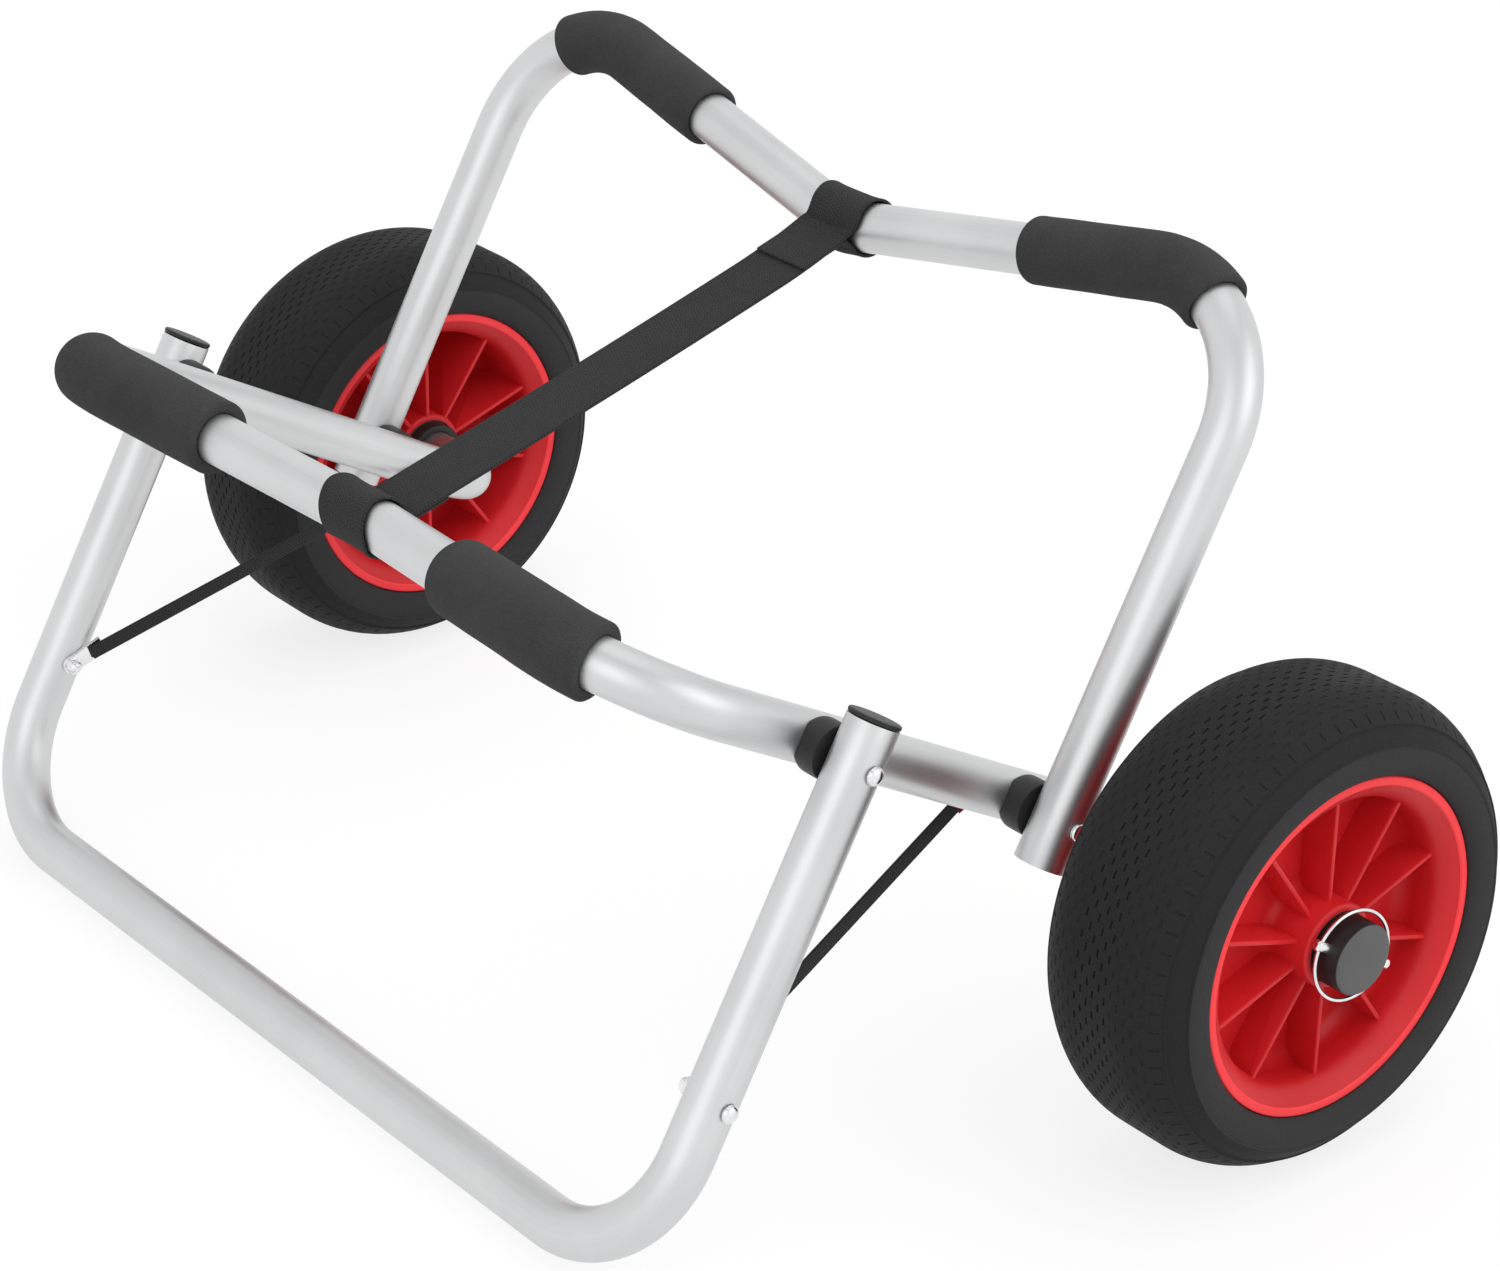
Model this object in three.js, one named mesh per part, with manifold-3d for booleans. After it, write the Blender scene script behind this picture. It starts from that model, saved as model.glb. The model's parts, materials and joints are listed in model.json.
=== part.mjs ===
import * as THREE from 'three';
import { mergeVertices } from 'three/addons/utils/BufferGeometryUtils.js';
import Module from 'manifold-3d';

const wasm = await Module();
wasm.setup();

// A folding kayak cart: three bent tubes, two foam-padded saddles, two fat wheels.
// Millimetres. +X is the cart's right, the kickstand reaches to -Y, +Z is up.
// The origin is on the ground, under the middle of the cart's box.

// Tube stock shared by the three frames
const tubeDiameter = 25.4;
const tubeWall = 1.6;
const seatGap = 0.3;
const cutOverrun = 4;

// Front frame, whose lower ends bend outward and become the wheel axles
const frontHalfWidth = 244.2;
const frontLegLength = 334;
const frontDip = 37.7;
const frontCornerRadius = 52;
const axleBendRadius = 62;
const frontLean = THREE.MathUtils.degToRad(30);
const saddleBendRadius = 40;

// Rear frame, hinged outside the front frame's legs just above their lower bends
const spacerThickness = 10.4;
const rearPivotAboveBend = 17;
const rearLegTail = 22;
const rearLegLength = 267.4;
const rearDip = 54.3;
const rearCornerRadius = 66;
const rearLean = THREE.MathUtils.degToRad(60);

// Kickstand, whose bar reaches the ground
const kickPivotBelowTop = 112;
const kickLegTail = 21;
const kickCornerRadius = 62;
const kickLean = THREE.MathUtils.degToRad(60);
const kickStrapBoltAboveBar = 88.455;

// Foam pads, each slid on by hand: how far their inner ends lie from the cart's middle,
// and their outer ends from the middle of the leg
const padEndRounding = 3.2;
const frontPadWall = 6.3;
const frontLeftPadInner = 105.1;
const frontRightPadInner = 95;
const frontPadLegInset = 34.1;
const rearPadWall = 4.1;
const rearLeftPadInner = 123.8;
const rearRightPadInner = 127.4;
const rearLeftPadLegInset = 32.8;
const rearRightPadLegInset = 36.3;

// Pivot hardware
const boltDiameter = 5;
const boltHeadDiameter = 8.6;
const boltHeadHeight = 3;
const nutWidth = 8;
const nutThickness = 4;
const boltStickOut = 1.5;
const boltHoleClearance = 0.35;
const spacerOverhang = 0.8;
const spacerWrap = 5.5;

// Webbing
const saddleStrapWidth = 39;
const saddleStrapThickness = 3.2;
const wrapOverhang = 4.5;
const wrapThickness = 2;
const kickStrapWidth = 8;
const kickStrapThickness = 1.6;
const strapTabWidth = 10;
const strapTabReach = 12;

// Wheels
const wheelDiameter = 237.2;
const wheelBesideLeg = 75.65;
const tyreCrownWidth = 25.8;
const tyreArcRadius = 56.7;
const tyreArcReach = 42.5;
const tyreEdgeAboveLip = 15.4;
const tyreEdgeBulge = 0.65;
const rimWidth = 82.5;
const rimSeatDiameter = 160;
const rimLipHeight = 4.3;
const rimLipThickness = 3.2;
const rimLipBand = 6.3;
const barrelWall = 7;
const ribInset = 9;
const ribThickness = 2.4;
const ribCount = 10;
const ribStart = THREE.MathUtils.degToRad(17);
const webThickness = 5;
const webInset = 28;
const hubWall = 3.5;
const hubBossHeight = 6.5;
const bushWall = 4.8;
const bushLength = 24;
const bushRunningClearance = 0.5;
const collarWall = 4.3;
const collarWidth = 7;

// Axle ends
const capWall = 5.1;
const capLength = 16.2;
const capFaceThickness = 2.8;
const lockPinDiameter = 5.5;
const lockPinStickOut = 12;
const lockPinAxleInset = 4.9;
const lockPinTipTaper = 1.2;
const ringWireDiameter = 2;
const ringHoleClearance = 0.5;
const ringHingeInset = 5.3;
const ringCapClearance = 1.7;

// Caps on the kickstand's upper ends
const legCapThickness = 2.2;
const legCapPlugDepth = 10;

// How finely the round shapes are cut
const tubeSides = 18;
const tubeBoreSides = 9;
const boreSides = 12;
const bendSteps = 5;
const dipSteps = 2;
const padSides = 16;
const wheelSides = 28;
const smallSides = 16;
const tyreArcSteps = 5;
const ringSides = 24;
const wireSides = 5;

// Places worked out from the values above
const tubeRadius = tubeDiameter / 2;
const tubeSeatRadius = tubeRadius + seatGap;
const spacerRadius = tubeRadius + spacerOverhang;
const wheelRadius = wheelDiameter / 2;
const outerLegHalfWidth = frontHalfWidth + tubeDiameter + spacerThickness;
const rearPivotDistance = axleBendRadius + rearPivotAboveBend;
const kickPivotDistance = frontLegLength - kickPivotBelowTop;
const kickPivotHeight = wheelRadius + kickPivotDistance * Math.sin(frontLean);
const kickLegLength = (kickPivotHeight - tubeRadius) / Math.sin(kickLean);
const kickStrapBoltDistance = kickLegLength - kickStrapBoltAboveBar;
const kickBarReach = kickPivotDistance * Math.cos(frontLean) + kickLegLength * Math.cos(kickLean);
const axleOffset = (kickBarReach + tubeRadius - wheelRadius) / 2;
const wheelCentre = outerLegHalfWidth + wheelBesideLeg;
const rimSeatRadius = rimSeatDiameter / 2;
const rimLipRadius = rimSeatRadius + rimLipHeight;
const barrelBore = rimSeatRadius - barrelWall;
const bushRadius = tubeRadius + bushWall;
const hubRadius = bushRadius + hubWall;
const hubHalfLength = rimWidth / 2 - ribInset;
const hubOuterLength = hubHalfLength + hubBossHeight;
const capRadius = tubeRadius + capWall;
const capInnerFace = wheelCentre + hubOuterLength + seatGap;
const capOuterFace = capInnerFace + capLength;
const axleEnd = capOuterFace - capFaceThickness - seatGap;
const lockPinPlace = axleEnd - lockPinAxleInset;
const lockPinHalfLength = capRadius + lockPinStickOut;
const ringHingeDistance = lockPinHalfLength - ringHingeInset;
const ringDiameter = ringHingeDistance + capRadius + ringCapClearance;
const sides = { left: -1, right: 1 };

// Finishes
const anodised = new THREE.MeshStandardMaterial({ color: 0xc3c5c6, roughness: 0.35, metalness: 0.9 });
const foam = new THREE.MeshStandardMaterial({ color: 0x3c3c3c, roughness: 0.95, metalness: 0 });
const webbing = new THREE.MeshStandardMaterial({ color: 0x38383a, roughness: 0.9, metalness: 0 });
const rubber = new THREE.MeshStandardMaterial({ color: 0x1d1d1e, roughness: 0.85, metalness: 0 });
const redPlastic = new THREE.MeshStandardMaterial({ color: 0xc4161c, roughness: 0.35, metalness: 0 });
const blackPlastic = new THREE.MeshStandardMaterial({ color: 0x161616, roughness: 0.6, metalness: 0 });
const chrome = new THREE.MeshStandardMaterial({ color: 0xd8d8d8, roughness: 0.12, metalness: 1 });

// A line of straight runs joined by round bends. Its rings fall on the ends of each
// straight run and at even steps round each bend.
class BentRoute extends THREE.Curve {
	constructor(corners, radii, steps) {
		super();
		this.stations = [];
		const last = corners.length - 1;
		this.addStation(corners[0], corners[1].clone().sub(corners[0]).normalize());
		for (let index = 1; index < last; index++) {
			const corner = corners[index];
			const arriving = corner.clone().sub(corners[index - 1]).normalize();
			const leaving = corners[index + 1].clone().sub(corner).normalize();
			this.addBend(corner, arriving, leaving, radii[index - 1], steps[index - 1]);
		}
		this.addStation(corners[last], corners[last].clone().sub(corners[last - 1]).normalize());
	}

	addStation(point, tangent) {
		const previous = this.stations.at(-1);
		const length = previous ? previous.length + previous.point.distanceTo(point) : 0;
		this.stations.push({ point, tangent, length });
	}

	addBend(corner, arriving, leaving, radius, steps) {
		const turn = arriving.angleTo(leaving);
		const start = corner.clone().addScaledVector(arriving, -radius * Math.tan(turn / 2));
		const inward = leaving.clone().addScaledVector(arriving, -arriving.dot(leaving)).normalize();
		for (let step = 0; step <= steps; step++) {
			const angle = (turn * step) / steps;
			const point = start.clone().addScaledVector(arriving, radius * Math.sin(angle));
			point.addScaledVector(inward, radius * (1 - Math.cos(angle)));
			const tangent = arriving.clone().multiplyScalar(Math.cos(angle));
			this.addStation(point, tangent.addScaledVector(inward, Math.sin(angle)));
		}
	}

	get steps() {
		return this.stations.length - 1;
	}

	blend(index, share) {
		const from = this.stations[index];
		const to = this.stations[Math.min(index + 1, this.steps)];
		const point = from.point.clone().lerp(to.point, share);
		const tangent = from.tangent.clone().lerp(to.tangent, share).normalize();
		return { point, tangent };
	}

	getPoint(share, target = new THREE.Vector3()) {
		const index = Math.floor(share * this.steps + Number.EPSILON * this.steps);
		return target.copy(this.blend(index, share * this.steps - index).point);
	}

	getPointAt(share, target) {
		return this.getPoint(share, target);
	}

	getTangentAt(share, target = new THREE.Vector3()) {
		const index = Math.floor(share * this.steps + Number.EPSILON * this.steps);
		return target.copy(this.blend(index, share * this.steps - index).tangent);
	}

	atLength(length) {
		const next = this.stations.findIndex((station) => station.length > length);
		const index = (next < 0 ? this.steps : next) - 1;
		const run = this.stations[index + 1].length - this.stations[index].length;
		return this.blend(index, (length - this.stations[index].length) / run);
	}

	lengthsBetween(start, end) {
		const inside = this.stations.map((station) => station.length);
		return [start, ...inside.filter((length) => length > start && length < end), end];
	}

	// The first place along the route that is this far across, walking toward +X.
	lengthWhereAcross(across) {
		const next = this.stations.findIndex((station) => station.point.x > across);
		const to = this.stations[next];
		const from = this.stations[next - 1];
		const share = (across - from.point.x) / (to.point.x - from.point.x);
		return from.length + share * (to.length - from.length);
	}
}

// The radius whose polygon keeps clear of a round of the given radius.
function clearRadius(radius, count) {
	return radius / Math.cos(Math.PI / count);
}

function circlePoints(radius, count) {
	const points = [];
	for (let index = 0; index < count; index++) {
		const angle = (2 * Math.PI * index) / count;
		points.push(new THREE.Vector2(radius * Math.cos(angle), radius * Math.sin(angle)));
	}
	return points;
}

// An open-ended tube along a route.
function tubeGeometry(route) {
	const section = new THREE.Shape(circlePoints(tubeRadius, tubeSides));
	section.holes.push(new THREE.Path(circlePoints(tubeRadius - tubeWall, tubeBoreSides).reverse()));
	return new THREE.ExtrudeGeometry(section, { steps: route.steps, extrudePath: route });
}

// Lays a turned shape, whose axis is +Y, along a route: y becomes the length along it.
function bendOnto(geometry, route) {
	const position = geometry.getAttribute('position');
	const away = new THREE.Vector3(0, 0, 1);
	for (let index = 0; index < position.count; index++) {
		const { point, tangent } = route.atLength(position.getY(index));
		const across = tangent.clone().cross(away);
		point.addScaledVector(across, position.getX(index));
		point.addScaledVector(away, position.getZ(index));
		position.setXYZ(index, point.x, point.y, point.z);
	}
	return geometry;
}

// A sleeve round a tube, from one length along its route to another.
function sleeveGeometry(route, start, end, outerRadius, rounding) {
	const boreRadius = clearRadius(tubeSeatRadius, padSides);
	const lengths = route.lengthsBetween(start, end);
	const inner = lengths.slice(1, -1);
	const outer = inner.filter((length) => length > start + rounding && length < end - rounding);
	const profile = [new THREE.Vector2(boreRadius, start)];
	if (rounding > 0) profile.push(new THREE.Vector2(outerRadius - rounding, start));
	profile.push(new THREE.Vector2(outerRadius, start + rounding));
	for (const length of outer) profile.push(new THREE.Vector2(outerRadius, length));
	profile.push(new THREE.Vector2(outerRadius, end - rounding));
	if (rounding > 0) profile.push(new THREE.Vector2(outerRadius - rounding, end));
	profile.push(new THREE.Vector2(boreRadius, end));
	for (const length of inner.reverse()) profile.push(new THREE.Vector2(boreRadius, length));
	profile.push(profile[0].clone());
	return bendOnto(new THREE.LatheGeometry(profile, padSides), route);
}

// A solid rod round a route, used to cut the space that a tube passes through.
function rodGeometry(route, start, end) {
	const radius = clearRadius(tubeSeatRadius, padSides);
	const profile = [new THREE.Vector2(0, start)];
	for (const length of route.lengthsBetween(start, end)) profile.push(new THREE.Vector2(radius, length));
	profile.push(new THREE.Vector2(0, end));
	return bendOnto(new THREE.LatheGeometry(profile, padSides), route);
}

// A turned shape about the X axis. Its points are given as [place along X, radius].
function turnedGeometry(outline, count, closed = false) {
	const profile = outline.map(([place, radius]) => new THREE.Vector2(radius, place));
	if (closed) profile.push(profile[0].clone());
	const geometry = new THREE.LatheGeometry(profile, count, Math.PI / count);
	return geometry.rotateZ(-Math.PI / 2);
}

function crossCylinder(radius, length, count) {
	return new THREE.CylinderGeometry(radius, radius, length, count).rotateZ(-Math.PI / 2);
}

function toSolid(geometry) {
	const bare = geometry.clone();
	bare.deleteAttribute('normal');
	bare.deleteAttribute('uv');
	const merged = mergeVertices(bare, seatGap / 1000);
	const triangles = new Uint32Array(merged.index.array);
	const vertices = new Float32Array(merged.getAttribute('position').array);
	return new wasm.Manifold(new wasm.Mesh({ numProp: 3, vertProperties: vertices, triVerts: triangles }));
}

function toGeometry(solid) {
	const mesh = solid.getMesh();
	const geometry = new THREE.BufferGeometry();
	geometry.setAttribute('position', new THREE.BufferAttribute(mesh.vertProperties, mesh.numProp));
	geometry.setIndex(new THREE.BufferAttribute(mesh.triVerts, 1));
	geometry.computeVertexNormals();
	return geometry;
}

function join(first, ...others) {
	return toGeometry(others.reduce((solid, other) => solid.add(toSolid(other)), toSolid(first)));
}

function cut(first, ...others) {
	return toGeometry(others.reduce((solid, other) => solid.subtract(toSolid(other)), toSolid(first)));
}

function addMesh(parent, name, geometry, material) {
	const mesh = new THREE.Mesh(geometry, material);
	mesh.name = name;
	parent.add(mesh);
	return mesh;
}

// Each frame's group has +Y up its legs, from the axle line or from its pivot.
function addFrameGroup(parent, place, angle) {
	const frame = new THREE.Group();
	frame.position.copy(place);
	frame.rotation.x = angle;
	parent.add(frame);
	return frame;
}

function alongLean(distance, angle) {
	return new THREE.Vector3(0, distance * Math.cos(angle), distance * Math.sin(angle));
}

const frontAngle = Math.PI - frontLean;
const rearAngle = rearLean;
const kickAngle = Math.PI + kickLean;
const rearPivot = alongLean(rearPivotDistance, frontAngle);
const kickPivot = alongLean(kickPivotDistance, frontAngle);

const cart = new THREE.Group();
cart.name = 'kayak_cart';
const axleLine = new THREE.Group();
axleLine.position.set(0, axleOffset, wheelRadius);
cart.add(axleLine);
const frontFrame = addFrameGroup(axleLine, new THREE.Vector3(), frontAngle);
const rearFrame = addFrameGroup(axleLine, rearPivot, rearAngle);
const kickstand = addFrameGroup(axleLine, kickPivot, kickAngle);

function flat(x, y) {
	return new THREE.Vector3(x, y, 0);
}

// Routes of the three tubes, from the left end to the right end
const frontRoute = new BentRoute(
	[
		flat(-axleEnd, 0),
		flat(-frontHalfWidth, 0),
		flat(-frontHalfWidth, frontLegLength),
		flat(0, frontLegLength - frontDip),
		flat(frontHalfWidth, frontLegLength),
		flat(frontHalfWidth, 0),
		flat(axleEnd, 0),
	],
	[axleBendRadius, frontCornerRadius, saddleBendRadius, frontCornerRadius, axleBendRadius],
	[bendSteps, bendSteps, dipSteps, bendSteps, bendSteps],
);
const rearRoute = new BentRoute(
	[
		flat(-outerLegHalfWidth, -rearLegTail),
		flat(-outerLegHalfWidth, rearLegLength),
		flat(0, rearLegLength - rearDip),
		flat(outerLegHalfWidth, rearLegLength),
		flat(outerLegHalfWidth, -rearLegTail),
	],
	[rearCornerRadius, saddleBendRadius, rearCornerRadius],
	[bendSteps, dipSteps, bendSteps],
);
const kickRoute = new BentRoute(
	[
		flat(-outerLegHalfWidth, -kickLegTail),
		flat(-outerLegHalfWidth, kickLegLength),
		flat(outerLegHalfWidth, kickLegLength),
		flat(outerLegHalfWidth, -kickLegTail),
	],
	[kickCornerRadius, kickCornerRadius],
	[bendSteps, bendSteps],
);

// A bolt hole through both walls of a leg, across the cart.
function legHole(side, halfWidth, along) {
	const radius = clearRadius(boltDiameter / 2 + boltHoleClearance, boreSides);
	const hole = crossCylinder(radius, tubeDiameter + cutOverrun, boreSides);
	return hole.translate(side * halfWidth, along, 0);
}

// The lock pin's hole, along the frame's legs, through something centred on the axle.
function lockPinHole(side, depth) {
	const radius = clearRadius(lockPinDiameter / 2 + boltHoleClearance, boreSides);
	return new THREE.CylinderGeometry(radius, radius, depth, boreSides).translate(side * lockPinPlace, 0, 0);
}

function addTubes() {
	const frontHoles = [];
	const rearHoles = [];
	const kickHoles = [];
	for (const side of Object.values(sides)) {
		frontHoles.push(legHole(side, frontHalfWidth, rearPivotDistance));
		frontHoles.push(legHole(side, frontHalfWidth, kickPivotDistance));
		frontHoles.push(lockPinHole(side, tubeDiameter + cutOverrun));
		rearHoles.push(legHole(side, outerLegHalfWidth, 0));
		kickHoles.push(legHole(side, outerLegHalfWidth, 0));
		kickHoles.push(legHole(side, outerLegHalfWidth, kickStrapBoltDistance));
	}
	addMesh(frontFrame, 'front_frame_tube', cut(tubeGeometry(frontRoute), ...frontHoles), anodised);
	addMesh(rearFrame, 'rear_frame_tube', cut(tubeGeometry(rearRoute), ...rearHoles), anodised);
	addMesh(kickstand, 'kickstand_tube', cut(tubeGeometry(kickRoute), ...kickHoles), anodised);
}

// A foam sleeve on each slope of a saddle, between two places across the cart.
function addPads(parent, route, prefix, wall, places) {
	for (const [name, side] of Object.entries(sides)) {
		const ends = places[name].map((across) => route.lengthWhereAcross(side * across));
		const start = Math.min(...ends);
		const end = Math.max(...ends);
		const geometry = sleeveGeometry(route, start, end, tubeRadius + wall, padEndRounding);
		addMesh(parent, `${prefix}_${name}`, geometry, foam);
	}
}

// A black spacer between two legs: hollowed to sit on the front frame's leg, flat
// where the outer leg turns against it.
function spacerGeometry(side, along) {
	const start = frontHalfWidth + tubeRadius - spacerWrap;
	const end = outerLegHalfWidth - tubeRadius - seatGap;
	const body = crossCylinder(spacerRadius, end - start, tubeSides);
	body.translate((side * (start + end)) / 2, along, 0);
	const legRadius = clearRadius(tubeSeatRadius, tubeSides);
	const leg = new THREE.CylinderGeometry(legRadius, legRadius, 2 * spacerRadius + cutOverrun, tubeSides);
	leg.translate(side * frontHalfWidth, along, 0);
	const boreRadius = clearRadius(boltDiameter / 2 + boltHoleClearance, boreSides);
	const bore = crossCylinder(boreRadius, end - start + cutOverrun, boreSides);
	bore.translate((side * (start + end)) / 2, along, 0);
	return cut(body, leg, bore);
}

// A domed bolt from its head, outside, to its end, inside. Mirrored for the left.
function boltGeometry(side, headSeat, end) {
	const headRadius = boltHeadDiameter / 2;
	const shankRadius = boltDiameter / 2;
	const rimShare = 0.33;
	const shoulderShare = 0.67;
	const shoulderWidthShare = 0.75;
	const crownWidthShare = 0.33;
	const outline = [
		[end, 0],
		[end, shankRadius],
		[headSeat, shankRadius],
		[headSeat, headRadius],
		[headSeat + boltHeadHeight * rimShare, headRadius],
		[headSeat + boltHeadHeight * shoulderShare, headRadius * shoulderWidthShare],
		[headSeat + boltHeadHeight, headRadius * crownWidthShare],
		[headSeat + boltHeadHeight, 0],
	];
	const geometry = turnedGeometry(outline, boreSides);
	return side < 0 ? geometry.rotateY(Math.PI) : geometry;
}

function nutGeometry(side, seat) {
	const section = new THREE.Shape(circlePoints(nutWidth / Math.sqrt(3), 6));
	const boreRadius = clearRadius(boltDiameter / 2 + boltHoleClearance, boreSides);
	section.holes.push(new THREE.Path(circlePoints(boreRadius, boreSides).reverse()));
	const geometry = new THREE.ExtrudeGeometry(section, { depth: nutThickness, bevelEnabled: false });
	geometry.rotateY(-Math.PI / 2);
	geometry.translate(seat, 0, 0);
	return side < 0 ? geometry.rotateY(Math.PI) : geometry;
}

// Inner faces of the two legs that carry nuts, and of the strap tabs on them
const frontLegInside = frontHalfWidth - tubeRadius - seatGap;
const outerLegInside = outerLegHalfWidth - tubeRadius - seatGap;
const tabThickness = kickStrapThickness;
const boltHeadSeat = outerLegHalfWidth + tubeRadius + seatGap;
const frontTabInside = frontLegInside - tabThickness - seatGap;
const outerTabInside = outerLegInside - tabThickness - seatGap;

function addFastener(parent, name, side, along, nutSeat) {
	const boltEnd = nutSeat - nutThickness - boltStickOut;
	const bolt = boltGeometry(side, boltHeadSeat, boltEnd).translate(0, along, 0);
	const [label, sideName] = name;
	addMesh(parent, `${label}_bolt_${sideName}`, bolt, chrome);
	addMesh(parent, `${label}_nut_${sideName}`, nutGeometry(side, nutSeat).translate(0, along, 0), chrome);
}

function addPivots() {
	for (const [name, side] of Object.entries(sides)) {
		const rearSpacer = spacerGeometry(side, rearPivotDistance);
		const kickSpacer = spacerGeometry(side, kickPivotDistance);
		addMesh(frontFrame, `rear_pivot_spacer_${name}`, rearSpacer, blackPlastic);
		addMesh(frontFrame, `kick_pivot_spacer_${name}`, kickSpacer, blackPlastic);
		addFastener(frontFrame, ['rear_pivot', name], side, rearPivotDistance, frontTabInside);
		addFastener(frontFrame, ['kick_pivot', name], side, kickPivotDistance, frontLegInside);
		addFastener(kickstand, ['kick_strap', name], side, kickStrapBoltDistance, outerTabInside);
	}
}

// A black cap in each upper end of the kickstand: a plug and a disc as wide as the tube.
function addLegCaps() {
	const plugRadius = (tubeRadius - tubeWall) * Math.cos(Math.PI / tubeBoreSides) - seatGap;
	const seat = seatGap;
	const outline = [
		[-legCapPlugDepth, 0],
		[-legCapPlugDepth, plugRadius],
		[seat, plugRadius],
		[seat, tubeRadius],
		[seat + legCapThickness, tubeRadius],
		[seat + legCapThickness, 0],
	];
	for (const [name, side] of Object.entries(sides)) {
		const cap = turnedGeometry(outline, tubeSides).rotateZ(-Math.PI / 2);
		cap.translate(side * outerLegHalfWidth, -kickLegTail, 0);
		addMesh(kickstand, `kickstand_cap_${name}`, cap, blackPlastic);
	}
}

// The tyre: a rounded crown and nearly flat sidewalls that end at the rim's lips.
function tyreGeometry() {
	const lipRadius = rimLipRadius + seatGap;
	const seatRadius = rimSeatRadius + seatGap;
	const beadHalf = rimWidth / 2 - rimLipThickness - seatGap;
	const arcDrop = wheelRadius - lipRadius - tyreEdgeAboveLip;
	const arcSweep = Math.acos(1 - arcDrop / tyreArcRadius);
	const half = [];
	for (let step = 0; step <= tyreArcSteps; step++) {
		const angle = (arcSweep * step) / tyreArcSteps;
		const across = tyreCrownWidth / 2 + tyreArcReach * Math.sin(angle);
		half.push([across, wheelRadius - tyreArcRadius * (1 - Math.cos(angle))]);
	}
	const [edgeAcross] = half.at(-1);
	half.push([edgeAcross + tyreEdgeBulge, lipRadius + tyreEdgeAboveLip / 2]);
	half.push([rimWidth / 2 + tyreEdgeBulge, lipRadius + tyreEdgeBulge]);
	half.push([rimWidth / 2, lipRadius]);
	half.push([beadHalf, lipRadius]);
	half.push([beadHalf, seatRadius]);
	const mirrored = half.map(([across, radius]) => [-across, radius]).reverse();
	// Scaled so that the flat facets, not the edges between them, lie at the radius.
	const outline = [...mirrored, ...half].map(([across, radius]) => [across, clearRadius(radius, wheelSides)]);
	return turnedGeometry(outline, wheelSides, true);
}

// The rim: hub, web and barrel turned in one, with straight ribs across both faces. The
// hub rises above the ribs on its outer side only.
function rimGeometry(side) {
	const half = rimWidth / 2;
	const boreRadius = clearRadius(bushRadius + seatGap, wheelSides);
	const webOuter = half - webInset;
	const webInner = webOuter - webThickness;
	const lipInnerRadius = rimLipRadius - rimLipBand;
	const outline = [
		[-hubHalfLength, boreRadius],
		[-hubHalfLength, hubRadius],
		[webInner, hubRadius],
		[webInner, barrelBore],
		[-hubHalfLength, barrelBore],
		[-half, lipInnerRadius],
		[-half, rimLipRadius],
		[rimLipThickness - half, rimLipRadius],
		[rimLipThickness - half, rimSeatRadius],
		[half - rimLipThickness, rimSeatRadius],
		[half - rimLipThickness, rimLipRadius],
		[half, rimLipRadius],
		[half, lipInnerRadius],
		[hubHalfLength, barrelBore],
		[webOuter, barrelBore],
		[webOuter, hubRadius],
		[hubOuterLength, hubRadius],
		[hubOuterLength, boreRadius],
	];
	const turned = turnedGeometry(outline, wheelSides, true);
	const ribEnd = barrelBore + barrelWall / 2;
	const ribBegin = (hubRadius + boreRadius) / 2;
	const ribs = [];
	for (let index = 0; index < ribCount; index++) {
		const height = 2 * hubHalfLength - seatGap;
		const rib = new THREE.BoxGeometry(height, ribEnd - ribBegin, ribThickness);
		rib.translate(0, (ribBegin + ribEnd) / 2, 0);
		ribs.push(rib.rotateX(ribStart + (2 * Math.PI * index) / ribCount));
	}
	const geometry = join(turned, ...ribs);
	return side < 0 ? geometry.rotateY(Math.PI) : geometry;
}

function bushGeometry(place) {
	const bore = clearRadius(tubeRadius + bushRunningClearance, smallSides);
	const outline = [
		[place - bushLength / 2, bore],
		[place - bushLength / 2, bushRadius],
		[place + bushLength / 2, bushRadius],
		[place + bushLength / 2, bore],
	];
	return turnedGeometry(outline, smallSides, true);
}

function addWheels() {
	for (const [name, side] of Object.entries(sides)) {
		const wheel = new THREE.Group();
		wheel.position.set(side * wheelCentre, 0, 0);
		axleLine.add(wheel);
		const outerPlace = side * (hubOuterLength - bushLength / 2);
		const innerPlace = -side * (hubHalfLength - bushLength / 2);
		addMesh(wheel, `tyre_${name}`, tyreGeometry(), rubber);
		addMesh(wheel, `rim_${name}`, rimGeometry(side), redPlastic);
		addMesh(wheel, `outer_bush_${name}`, bushGeometry(outerPlace), blackPlastic);
		addMesh(wheel, `inner_bush_${name}`, bushGeometry(innerPlace), blackPlastic);
	}
}

// What keeps each wheel on its axle: a collar inside, a capped and pinned end outside.
function collarGeometry(side) {
	const bore = clearRadius(tubeSeatRadius, smallSides);
	const outerFace = wheelCentre - hubHalfLength - seatGap;
	const outline = [
		[outerFace - collarWidth, bore],
		[outerFace - collarWidth, tubeRadius + collarWall],
		[outerFace, tubeRadius + collarWall],
		[outerFace, bore],
	];
	const geometry = turnedGeometry(outline, smallSides, true);
	return side < 0 ? geometry.rotateY(Math.PI) : geometry;
}

function capGeometry(side) {
	const bore = clearRadius(tubeSeatRadius, tubeSides);
	const outline = [
		[capInnerFace, bore],
		[capInnerFace, capRadius],
		[capOuterFace, capRadius],
		[capOuterFace, 0],
		[capOuterFace - capFaceThickness, 0],
		[capOuterFace - capFaceThickness, bore],
		[capInnerFace, bore],
	];
	const geometry = turnedGeometry(outline, tubeSides);
	const turned = side < 0 ? geometry.rotateY(Math.PI) : geometry;
	return cut(turned, lockPinHole(side, 2 * capRadius + cutOverrun));
}

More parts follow.
